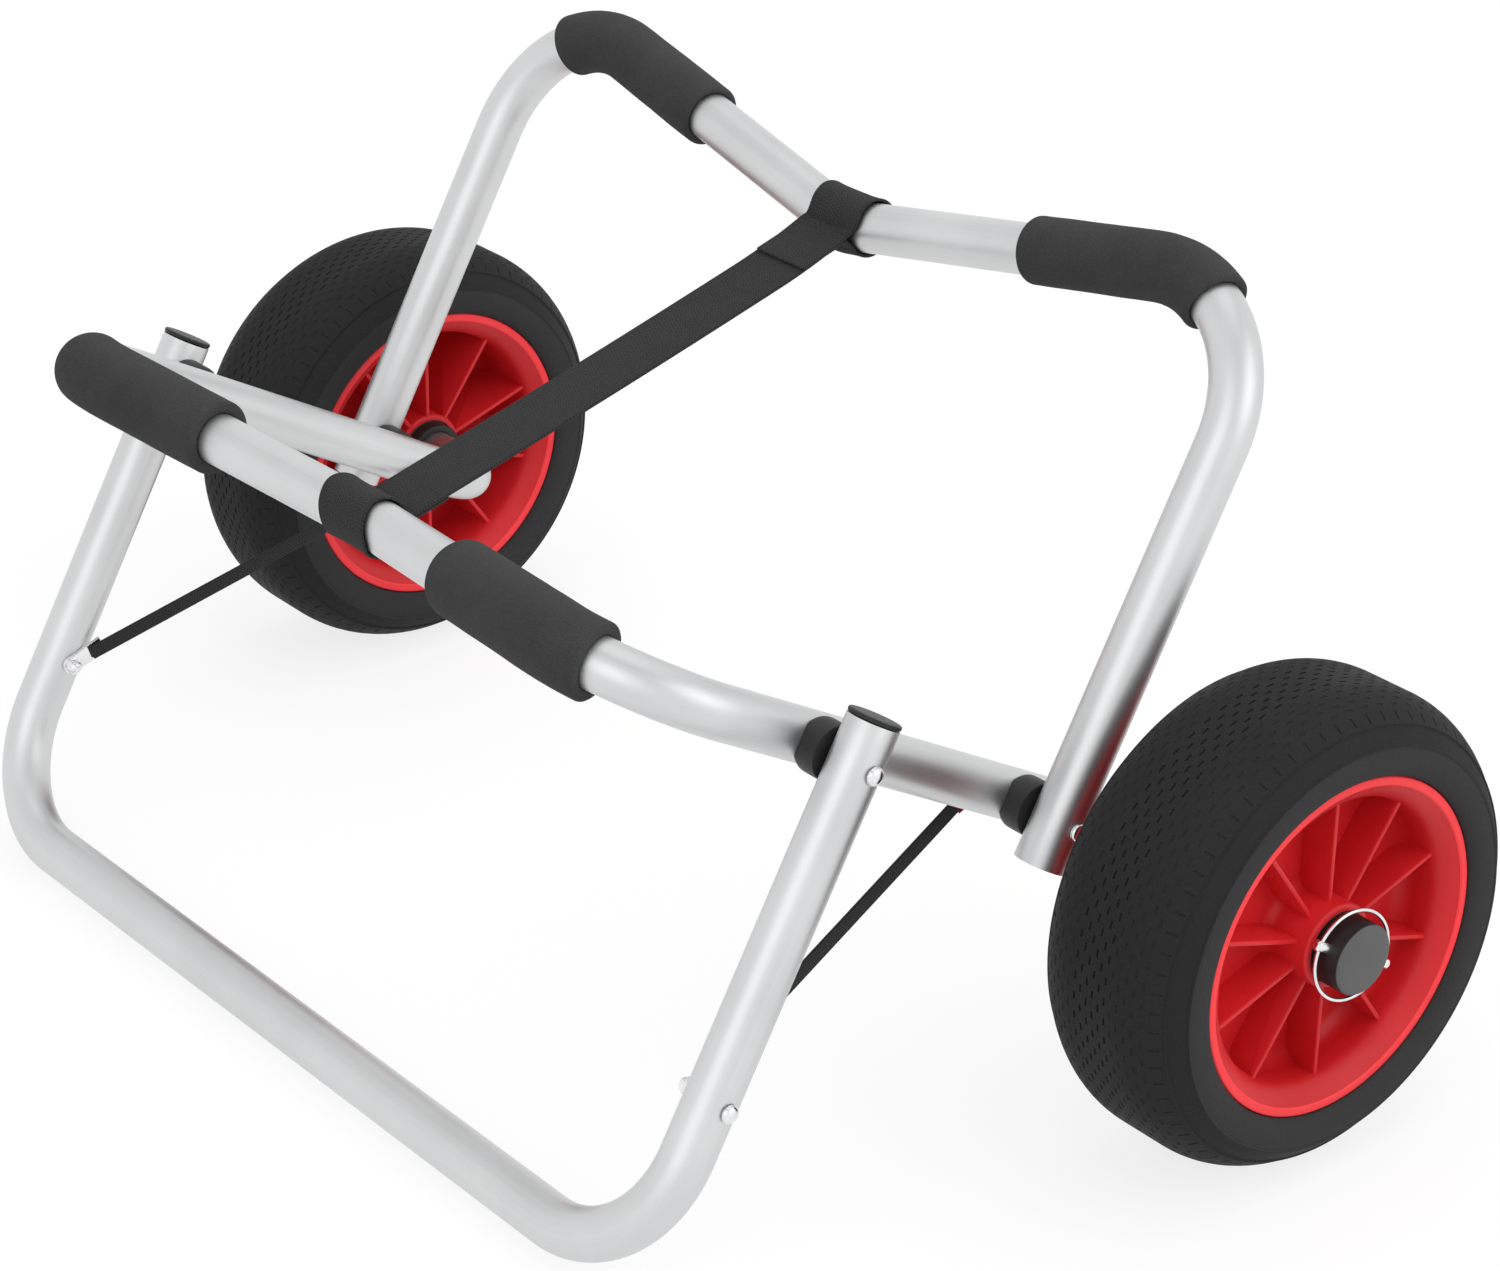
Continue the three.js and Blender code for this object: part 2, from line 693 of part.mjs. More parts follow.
// A straight pin through cap and axle, cross-drilled at its upper end for the ring.
function lockPinGeometry(side) {
	const radius = lockPinDiameter / 2;
	const half = lockPinHalfLength;
	const outline = [
		[-half, 0],
		[-half, radius - lockPinTipTaper],
		[lockPinTipTaper - half, radius],
		[half - lockPinTipTaper, radius],
		[half, radius - lockPinTipTaper],
		[half, 0],
	];
	const pin = turnedGeometry(outline, boreSides).rotateZ(Math.PI / 2);
	const holeRadius = clearRadius(ringWireDiameter / 2 + ringHoleClearance, boreSides);
	const hole = new THREE.CylinderGeometry(holeRadius, holeRadius, lockPinDiameter + cutOverrun, boreSides);
	hole.rotateX(Math.PI / 2).translate(0, ringHingeDistance, 0);
	return cut(pin, hole).translate(side * lockPinPlace, 0, 0);
}

// The wire ring hangs in the pin's cross hole and leans over the pin's other end.
function ringGeometry(side) {
	const wire = ringWireDiameter / 2;
	const ring = new THREE.TorusGeometry(ringDiameter / 2, wire, wireSides, ringSides);
	ring.rotateY(Math.PI / 2).translate(0, -ringDiameter / 2, 0);
	const lift = lockPinDiameter / 2 + wire + seatGap;
	ring.rotateZ(side * Math.asin(lift / ringDiameter));
	return ring.translate(side * lockPinPlace, ringHingeDistance, 0);
}

function addAxleEnds() {
	for (const [name, side] of Object.entries(sides)) {
		addMesh(frontFrame, `axle_collar_${name}`, collarGeometry(side), blackPlastic);
		addMesh(frontFrame, `axle_end_cap_${name}`, capGeometry(side), blackPlastic);
		addMesh(frontFrame, `lock_pin_${name}`, lockPinGeometry(side), chrome);
		addMesh(frontFrame, `lock_ring_${name}`, ringGeometry(side), chrome);
	}
}

// The wide strap between the saddles: a loop round each dip and a band between them.
function addSaddleStrap() {
	const loops = [];
	const bores = [];
	const frames = [
		{ group: frontFrame, route: frontRoute },
		{ group: rearFrame, route: rearRoute },
	];
	const ends = frames.map(({ group, route }) => {
		const middle = route.stations.at(-1).length / 2;
		const wrapHalf = saddleStrapWidth / 2 + wrapOverhang;
		const sleeve = [middle - wrapHalf, middle + wrapHalf];
		const loopRadius = tubeSeatRadius + wrapThickness;
		const loop = sleeveGeometry(route, ...sleeve, loopRadius, 0);
		const bore = rodGeometry(route, sleeve[0] - cutOverrun, sleeve[1] + cutOverrun);
		group.updateMatrix();
		loops.push(loop.applyMatrix4(group.matrix));
		bores.push(bore.applyMatrix4(group.matrix));
		return route.atLength(middle).point.applyMatrix4(group.matrix);
	});
	const span = ends[1].clone().sub(ends[0]);
	const band = new THREE.BoxGeometry(saddleStrapWidth, span.length(), saddleStrapThickness);
	band.rotateX(Math.atan2(span.z, span.y));
	band.translate(0, (ends[0].y + ends[1].y) / 2, (ends[0].z + ends[1].z) / 2);
	addMesh(axleLine, 'saddle_strap', cut(join(band, ...loops), ...bores), webbing);
}

// A steel tab under a nut: a plate square to the bolt, pointing along the strap.
function tabGeometry(side, bolt, pointing, outerFace) {
	const half = strapTabWidth / 2;
	const outline = new THREE.Shape();
	outline.moveTo(strapTabReach, -half);
	outline.lineTo(strapTabReach, half);
	outline.lineTo(0, half);
	for (let step = 1; step < smallSides / 2; step++) {
		const angle = Math.PI / 2 + (2 * Math.PI * step) / smallSides;
		outline.lineTo(half * Math.cos(angle), half * Math.sin(angle));
	}
	outline.lineTo(0, -half);
	const boreRadius = clearRadius(boltDiameter / 2 + boltHoleClearance, boreSides);
	outline.holes.push(new THREE.Path(circlePoints(boreRadius, boreSides).reverse()));
	const plate = new THREE.ExtrudeGeometry(outline, { depth: tabThickness, bevelEnabled: false });
	// The plate's outline lies in X and Y: they become Y and Z.
	plate.rotateZ(pointing).rotateX(Math.PI / 2).rotateZ(Math.PI / 2);
	const inward = side * outerFace - (side > 0 ? tabThickness : 0);
	return plate.translate(inward, bolt.y, bolt.z);
}

// A thin strap each side, from the kickstand's lower bolt to the rear frame's pivot.
function addKickStraps() {
	const lowBolt = kickPivot.clone().add(alongLean(kickStrapBoltDistance, kickAngle));
	const rise = rearPivot.clone().sub(lowBolt);
	const pointing = Math.atan2(rise.z, rise.y);
	const reach = new THREE.Vector3(0, Math.cos(pointing), Math.sin(pointing));
	for (const [name, side] of Object.entries(sides)) {
		const lower = tabGeometry(side, lowBolt, pointing, outerLegInside);
		const upper = tabGeometry(side, rearPivot, pointing + Math.PI, frontLegInside);
		addMesh(axleLine, `lower_strap_tab_${name}`, lower, chrome);
		addMesh(axleLine, `upper_strap_tab_${name}`, upper, chrome);
		const start = lowBolt.clone().addScaledVector(reach, strapTabReach + seatGap);
		const end = rearPivot.clone().addScaledVector(reach, -strapTabReach - seatGap);
		start.x = side * (outerLegInside - tabThickness / 2);
		end.x = side * (frontLegInside - tabThickness / 2);
		const run = end.clone().sub(start);
		const strap = new THREE.BoxGeometry(kickStrapThickness, run.length(), kickStrapWidth);
		const turn = new THREE.Matrix4();
		const along = run.clone().normalize();
		const across = new THREE.Vector3(1, 0, 0).cross(along).normalize();
		turn.makeBasis(along.clone().cross(across), along, across);
		strap.applyMatrix4(turn);
		const middle = start.clone().add(end).multiplyScalar(1 / 2);
		addMesh(axleLine, `kick_strap_${name}`, strap.translate(middle.x, middle.y, middle.z), webbing);
	}
}

addTubes();
addPads(frontFrame, frontRoute, 'front_pad', frontPadWall, {
	left: [frontLeftPadInner, frontHalfWidth - frontPadLegInset],
	right: [frontRightPadInner, frontHalfWidth - frontPadLegInset],
});
addPads(rearFrame, rearRoute, 'rear_pad', rearPadWall, {
	left: [rearLeftPadInner, outerLegHalfWidth - rearLeftPadLegInset],
	right: [rearRightPadInner, outerLegHalfWidth - rearRightPadLegInset],
});
addPivots();
addLegCaps();
addWheels();
addAxleEnds();
addSaddleStrap();
addKickStraps();

export default cart;
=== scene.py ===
import bpy
import bmesh
import json
import math
from mathutils import Matrix, Vector

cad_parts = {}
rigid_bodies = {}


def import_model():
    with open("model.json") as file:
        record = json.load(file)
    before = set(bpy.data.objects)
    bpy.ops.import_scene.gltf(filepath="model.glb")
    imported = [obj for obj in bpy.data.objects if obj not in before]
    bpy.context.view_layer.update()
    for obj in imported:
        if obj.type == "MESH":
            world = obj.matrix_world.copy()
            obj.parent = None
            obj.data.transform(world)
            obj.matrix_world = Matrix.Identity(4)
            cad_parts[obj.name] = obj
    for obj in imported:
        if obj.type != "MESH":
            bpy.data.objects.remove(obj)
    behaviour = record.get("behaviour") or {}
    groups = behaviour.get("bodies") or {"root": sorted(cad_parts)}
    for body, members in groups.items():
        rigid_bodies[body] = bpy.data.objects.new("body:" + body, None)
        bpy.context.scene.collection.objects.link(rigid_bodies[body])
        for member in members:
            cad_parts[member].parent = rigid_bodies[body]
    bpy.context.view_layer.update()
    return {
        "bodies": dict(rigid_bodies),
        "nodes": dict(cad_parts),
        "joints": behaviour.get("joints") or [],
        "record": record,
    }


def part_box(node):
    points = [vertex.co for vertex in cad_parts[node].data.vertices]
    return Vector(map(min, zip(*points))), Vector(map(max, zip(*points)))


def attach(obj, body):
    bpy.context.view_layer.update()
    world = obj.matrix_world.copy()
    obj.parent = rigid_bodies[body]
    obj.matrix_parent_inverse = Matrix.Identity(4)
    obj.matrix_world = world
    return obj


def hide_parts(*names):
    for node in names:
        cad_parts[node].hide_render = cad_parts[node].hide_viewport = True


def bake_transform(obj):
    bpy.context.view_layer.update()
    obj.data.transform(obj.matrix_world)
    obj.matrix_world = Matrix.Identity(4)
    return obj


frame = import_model()
print("frame loaded")

# Camera, at the photograph's angle
camera = {
    "place": (1.4625, -1.1050, 1.0709),
    "turn": (63.49, 0, 50.94),      # degrees
    "lens": 97.67, "sensorWidth": 36,
}


def addCamera():
    bpy.ops.object.camera_add(location=camera["place"])
    eye = bpy.context.object
    eye.rotation_euler = [math.radians(angle) for angle in camera["turn"]]
    eye.data.lens = camera["lens"]
    eye.data.sensor_width = camera["sensorWidth"]
    eye.data.sensor_fit = "HORIZONTAL"
    bpy.context.scene.camera = eye


addCamera()
print("camera set")

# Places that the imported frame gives
joints = {joint["name"]: joint for joint in frame["joints"]}
wheelPlace = Vector(joints["right_wheel_spin"]["pos_m"])
axleLine = Vector((0, wheelPlace.y, wheelPlace.z))
rearPivot = Vector(joints["rear_frame_fold"]["pos_m"])
kickPivot = Vector(joints["kickstand_fold"]["pos_m"])
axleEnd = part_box("front_frame_tube")[1].x

# Tube stock and the three bent frames, in metres
tubeStock = {
    "radius": 0.0127, "wall": 0.0016, "seatGap": 0.0003, "ringSides": 48, "bendStep": 0.0035,
    "straightStep": 0.03, "cutRounding": 0.0003,
}
frontTube = {
    "lean": 150,                    # degrees about +X from lying flat
    "halfWidth": 0.2442, "legLength": 0.334, "dip": 0.0377, "axleBendRadius": 0.062,
    "cornerRadius": 0.052, "dipRadius": 0.040,
}
rearTube = {
    "lean": 60, "legLength": 0.2674, "tail": 0.022, "dip": 0.0543, "cornerRadius": 0.066,
    "dipRadius": 0.040,
}
kickTube = {
    "lean": 240, "tail": 0.021, "cornerRadius": 0.062,
}
tubeRadius, seatGap = tubeStock["radius"], tubeStock["seatGap"]
frontHalf = frontTube["halfWidth"]
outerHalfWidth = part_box("kickstand_tube")[1].x - tubeRadius
kickRise = math.sin(math.radians(kickTube["lean"] - 180))
kickLegLength = (kickPivot.z - tubeRadius) / kickRise


def leanBy(degrees):  # a turn about the cart's X axis
    return Matrix.Rotation(math.radians(degrees), 4, "X")


def planeAt(place, lean):  # a frame's own plane: X across the cart, Y up its legs
    return Matrix.Translation(place) @ leanBy(lean)


frontPlane = planeAt(axleLine, frontTube["lean"])
rearPlane = planeAt(rearPivot, rearTube["lean"])
kickPlane = planeAt(kickPivot, kickTube["lean"])
frontTurn = leanBy(frontTube["lean"])


def takeUp(piece):  # selects one piece alone and makes it active
    bpy.ops.object.select_all(action="DESELECT")
    piece.select_set(True)
    bpy.context.view_layer.objects.active = piece


def enterEdit(piece):
    takeUp(piece)
    bpy.ops.object.mode_set(mode="EDIT")
    bpy.ops.mesh.select_mode(type="VERT")
    bpy.ops.mesh.select_all(action="SELECT")


def closeShape():  # merges doubles, turns faces outward and leaves edit mode
    bpy.ops.mesh.select_all(action="SELECT")
    bpy.ops.mesh.remove_doubles(threshold=0.000002)
    bpy.ops.mesh.normals_make_consistent(inside=False)
    bpy.ops.object.mode_set(mode="OBJECT")


def pieceName(node):  # rear_pivot_bolt becomes rearPivotBoltRight
    first, *others = node.split("_")
    return first + "".join(word.title() for word in others) + "Right"


def namePiece(name):
    piece = bpy.context.object
    piece.name = name
    piece.data.name = name
    return piece


def settle(piece):  # puts the object's place, turn and scale into its mesh
    takeUp(piece)
    bpy.ops.object.transform_apply(location=True, rotation=True, scale=True)


def layIn(piece, place):
    piece.matrix_world = place
    settle(piece)


def addShape(name, add, **values):  # a primitive, alone in the selection, settled
    bpy.ops.object.select_all(action="DESELECT")
    add(**values)
    piece = namePiece(name)
    settle(piece)
    return piece


def pull(move):  # extrudes what is selected
    bpy.ops.mesh.extrude_region_move(TRANSFORM_OT_translate={"value": move})


def applyModifier(piece, kind, **values):
    takeUp(piece)
    modifier = piece.modifiers.new(kind.title(), kind)
    for name, value in values.items():
        setattr(modifier, name, value)
    bpy.ops.object.modifier_apply(modifier=modifier.name)


def roundEdges(piece, width, segments=3, degrees=40):
    applyModifier(piece, "BEVEL", width=width, segments=segments,
                  limit_method="ANGLE", angle_limit=math.radians(degrees))


def smoothEdges(piece, degrees=35):
    takeUp(piece)
    bpy.ops.object.shade_smooth_by_angle(angle=math.radians(degrees))


def cutAway(piece, tool, operation="DIFFERENCE"):  # a boolean, and its tool is removed
    applyModifier(piece, "BOOLEAN", object=tool, operation=operation, solver="EXACT")
    bpy.data.objects.remove(tool)


def copyPiece(piece, name):
    twin = piece.copy()
    twin.data = piece.data.copy()
    twin.name = name
    twin.data.name = name
    bpy.context.scene.collection.objects.link(twin)
    return twin


def mirrorPiece(piece, degrees=35):  # the same piece on the cart's left side
    twin = copyPiece(piece, piece.name.replace("Right", "Left"))
    twin.scale = (-1, 1, 1)
    settle(twin)
    enterEdit(twin)
    bpy.ops.mesh.normals_make_consistent(inside=False)
    bpy.ops.object.mode_set(mode="OBJECT")
    smoothEdges(twin, degrees)
    return twin


def arcPoints(centre, radius, start, end, steps):  # degrees, from the X direction
    angles = [math.radians(start + (end - start) * step / steps) for step in range(steps + 1)]
    return [(centre[0] + radius * math.cos(angle), centre[1] + radius * math.sin(angle))
            for angle in angles]


def turnPiece(name, outline, sides, closed=False):  # turned about X: points of place and radius
    place, radius = outline[0]
    piece = addShape(name, bpy.ops.mesh.primitive_circle_add, vertices=sides, radius=radius,
                     fill_type="NOTHING" if closed else "NGON", location=(place, 0, 0),
                     rotation=(0, math.pi / 2, 0))
    enterEdit(piece)
    for nextPlace, nextRadius in outline[1:] + outline[:1] * closed:
        pull((nextPlace - place, 0, 0))
        share = nextRadius / radius
        bpy.ops.transform.resize(value=(1, share, share), center_override=(nextPlace, 0, 0))
        place, radius = nextPlace, nextRadius
    closeShape()
    return piece


def bentRoute(corners, radii):  # straight runs and round bends through flat corners
    runs = []
    points = [Vector((*corner, 0)) for corner in corners]
    place = points[0]
    for corner, after, radius in zip(points[1:], points[2:], radii):
        heading = (corner - place).normalized()
        leaving = (after - corner).normalized()
        turn = math.atan2(heading.cross(leaving).z, heading.dot(leaving))
        reach = radius * math.tan(abs(turn) / 2)
        begin = corner - heading * reach
        side = Vector((-heading.y, heading.x, 0)) * math.copysign(radius, turn)
        runs.append({"start": place, "heading": heading, "length": (begin - place).length,
                     "turn": 0})
        runs.append({"start": begin, "heading": heading, "length": radius * abs(turn),
                     "turn": turn, "centre": begin + side})
        place = corner + leaving * reach
    last = points[-1] - place
    runs.append({"start": place, "heading": last.normalized(), "length": last.length,
                 "turn": 0})
    return runs


def routeLength(route):
    return sum(run["length"] for run in route)


def alongRun(run, length):
    if not run["turn"]:
        return run["start"] + run["heading"] * length, run["heading"]
    spin = Matrix.Rotation(run["turn"] * length / run["length"], 3, "Z")
    return run["centre"] + spin @ (run["start"] - run["centre"]), spin @ run["heading"]


def alongRoute(route, length):  # the point and the heading at a length
    for run in route[:-1]:
        if length <= run["length"]:
            return alongRun(run, length)
        length -= run["length"]
    return alongRun(route[-1], length)


def lengthAcross(route, across):  # the length at which a route first gets that far across
    low, high = 0, routeLength(route)
    for halving in range(40):
        middle = (low + high) / 2
        if alongRoute(route, middle)[0].x < across:
            low = middle
        else:
            high = middle
    return low


def unbend(route, point):  # section x, section y and length of a point beside a route
    best = None
    passed = 0
    for run in route:
        if run["turn"]:
            spoke = run["start"] - run["centre"]
            flat = Vector((point.x, point.y, 0)) - run["centre"]
            angle = math.atan2(spoke.cross(flat).z, spoke.dot(flat))
            length = angle / run["turn"] * run["length"]
        else:
            length = (point - run["start"]).dot(run["heading"])
        length = min(max(length, 0), run["length"])
        centre, heading = alongRun(run, length)
        gap = (Vector((point.x, point.y, 0)) - centre).length
        if best is None or gap < best[0]:
            side = (point - centre).dot(Vector((-heading.y, heading.x, 0)))
            best = (gap, (side, point.z, passed + length))
        passed += run["length"]
    return best[1]


def markPoints(piece, measure):  # lets a pattern follow the bends
    marks = piece.data.attributes.new("unbent", "FLOAT_VECTOR", "POINT")
    for vertex, mark in zip(piece.data.vertices, marks.data):
        mark.vector = measure(vertex.co)


def pipeAlong(name, route, start, end, radius, sides, straightStep, bendStep):
    point, heading = alongRoute(route, start)
    piece = addShape(name, bpy.ops.mesh.primitive_circle_add, vertices=sides, radius=radius)
    layIn(piece, Matrix.Translation(point) @ heading.to_track_quat("Z", "Y").to_matrix().to_4x4())
    enterEdit(piece)
    passed = 0
    for run in route:
        low = max(start - passed, 0)
        high = min(end - passed, run["length"])
        passed += run["length"]
        if high - low < 0.00001:
            continue
        if run["turn"]:
            steps = max(1, round((high - low) / bendStep))
            angle = -run["turn"] * (high - low) / run["length"]    # spin turns clockwise
            bpy.ops.mesh.spin(steps=steps, angle=angle, center=run["centre"], axis=(0, 0, 1))
            continue
        steps = max(1, round((high - low) / straightStep))
        move = run["heading"] * ((high - low) / steps)
        for step in range(steps):
            pull(move)
    closeShape()
    return piece


def frameRoute(corners, radii):  # its right half mirrors the left one
    return bentRoute(corners + [(-across, up) for across, up in corners[::-1] if across], radii)


frontRoute = frameRoute(
    [(-axleEnd, 0), (-frontHalf, 0), (-frontHalf, frontTube["legLength"]),
     (0, frontTube["legLength"] - frontTube["dip"])],
    [frontTube[kind + "Radius"] for kind in ("axleBend", "corner", "dip", "corner", "axleBend")])
rearRoute = frameRoute(
    [(-outerHalfWidth, -rearTube["tail"]), (-outerHalfWidth, rearTube["legLength"]),
     (0, rearTube["legLength"] - rearTube["dip"])],
    [rearTube[kind + "Radius"] for kind in ("corner", "dip", "corner")])
kickRoute = frameRoute(
    [(-outerHalfWidth, -kickTube["tail"]), (-outerHalfWidth, kickLegLength)],
    [kickTube["cornerRadius"]] * 2)


# Node groups: effects that more than one finish uses
def plug(socket, value):  # links an output, or sets a plain value
    if isinstance(value, bpy.types.NodeSocket):
        socket.id_data.links.new(value, socket)
    else:
        socket.default_value = value


def addNode(tree, kind, **values):  # sets properties, and sockets by their names
    node = tree.nodes.new("ShaderNode" + kind)
    for name, value in values.items():
        if hasattr(node, name):
            setattr(node, name, value)
        else:
            plug(node.inputs[name.replace("_", " ")], value)
    return node


def doMath(tree, operation, *values):
    node = addNode(tree, "Math", operation=operation)
    for socket, value in zip(node.inputs, values):
        plug(socket, value)
    return node.outputs["Value"]


def newGroup(name, inputs, outputs):
    tree = bpy.data.node_groups.new(name, "ShaderNodeTree")
    tree.interface.new_socket("Vector", in_out="INPUT", socket_type="NodeSocketVector")
    for label, value in inputs.items():
        socket = tree.interface.new_socket(label, in_out="INPUT", socket_type="NodeSocketFloat")
        socket.default_value = value
    for label in outputs:
        tree.interface.new_socket(label, in_out="OUTPUT", socket_type="NodeSocketFloat")
    start, end = tree.nodes.new("NodeGroupInput"), tree.nodes.new("NodeGroupOutput")
    return tree, start.outputs, end.inputs


def buildMottle():  # soft cloudy change and fine grain, from one set of coordinates
    tree, start, end = newGroup(
        "cloudAndGrain", {"Cloud Scale": 20.0, "Grain Scale": 900.0}, ("Cloud", "Grain"))
    for label, detail, roughness in (("Cloud", 3.0, 0.55), ("Grain", 4.0, 0.65)):
        noise = addNode(tree, "TexNoise", Vector=start["Vector"], Scale=start[label + " Scale"],
                        Detail=detail, Roughness=roughness)
        spread = addNode(tree, "MapRange", From_Min=0.3, From_Max=0.7, Value=noise.outputs["Fac"])
        plug(end[label], spread.outputs["Result"])
    return tree


def buildStreaks():  # drawn-out lines along a bent tube, as extrusion and polishing leave
    tree, start, end = newGroup("drawnLines", {"Fineness": 900.0, "Run": 4.0}, ("Lines",))
    parts = addNode(tree, "SeparateXYZ", Vector=start["Vector"]).outputs
    scales = {"X": "Fineness", "Y": "Fineness", "Z": "Run"}
    scaled = {axis: doMath(tree, "MULTIPLY", parts[axis], start[scale])
              for axis, scale in scales.items()}
    joined = addNode(tree, "CombineXYZ", **scaled)
    lines = addNode(tree, "TexNoise", Vector=joined.outputs["Vector"], Scale=1.0, Detail=3.0,
                    Roughness=0.6)
    plug(end["Lines"], lines.outputs["Fac"])
    return tree


def buildWeave():  # over and under threads across X and along Z, in metres
    tree, start, end = newGroup(
        "webbingWeave", {"Thread Across": 0.0013, "Thread Along": 0.0017}, ("Height", "Shade"))
    parts = addNode(tree, "SeparateXYZ", Vector=start["Vector"]).outputs

    def wave(value):
        return doMath(tree, "ABSOLUTE", doMath(tree, "SINE", value))

    across = doMath(tree, "DIVIDE", parts["X"], start["Thread Across"])
    along = doMath(tree, "DIVIDE", parts["Z"], start["Thread Along"])
    slanted = doMath(tree, "ADD", along, wave(across))
    ridge = wave(doMath(tree, "MULTIPLY", across, math.pi))
    pick = wave(doMath(tree, "MULTIPLY", slanted, math.pi))
    height = doMath(tree, "MULTIPLY", ridge, doMath(tree, "ADD", pick, 0.35))
    fuzz = addNode(tree, "TexNoise", Vector=start["Vector"], Scale=1600.0, Detail=2.0)
    rough = doMath(tree, "MULTIPLY_ADD", fuzz.outputs["Fac"], 0.35, height)
    plug(end["Height"], rough)
    plug(end["Shade"], doMath(tree, "MULTIPLY", rough, 0.6))
    return tree


groups = {"mottle": buildMottle(), "streaks": buildStreaks(), "weave": buildWeave()}


def placeGroup(tree, name, **values):
    return addNode(tree, "Group", node_tree=groups[name], **values).outputs


# Masks that single finishes need, by name
def lineMask(tree, vector, look, masks):
    return placeGroup(tree, "streaks", Vector=vector, **look["streaks"]).items()


def cellMask(tree, vector, look, masks):
    cells = addNode(tree, "TexVoronoi", Vector=vector, Scale=look["cellScale"])
    return {"Cells": cells.outputs["Distance"]}


def weaveMask(tree, vector, look, masks):  # the threads, faded in clouds
    weave = placeGroup(tree, "weave", Vector=vector, **look["threads"])
    fade = doMath(tree, "MULTIPLY_ADD", masks["Cloud"], *look["fade"])
    return {"Height": weave["Height"], "Woven": doMath(tree, "MULTIPLY", weave["Shade"], fade)}


def wheelReach(tree, vector):  # distance from the wheels' axis
    centred = addNode(tree, "Mapping", Vector=vector, Scale=(0, 1, 1),
                      Location=(0, -wheelPlace.y, -wheelPlace.z))
    reach = addNode(tree, "VectorMath", operation="LENGTH", Vector=centred.outputs["Vector"])
    return reach.outputs["Value"]


def bandMask(tree, vector, look, masks):  # painted light on the tyre's flat band beside the rim, which is painted paler as if lit from the side
    return {"Band": doMath(tree, "LESS_THAN", wheelReach(tree, vector), look["bandRadius"])}


def lipMask(tree, vector, look, masks):  # a painted highlight on the rim's rounded lip, painted paler than the bowl
    return {"Lip": doMath(tree, "GREATER_THAN", wheelReach(tree, vector), look["lipRadius"])}


def faceMask(tree, vector, look, masks):  # painted light and reflection on the axle caps' satin faces, painted paler grey than the sides
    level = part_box("axle_end_cap_right")[1].x - 2 * cap["crown"]
    across = addNode(tree, "SeparateXYZ", Vector=vector).outputs["X"]
    return {"Face": doMath(tree, "GREATER_THAN", doMath(tree, "ABSOLUTE", across), level)}


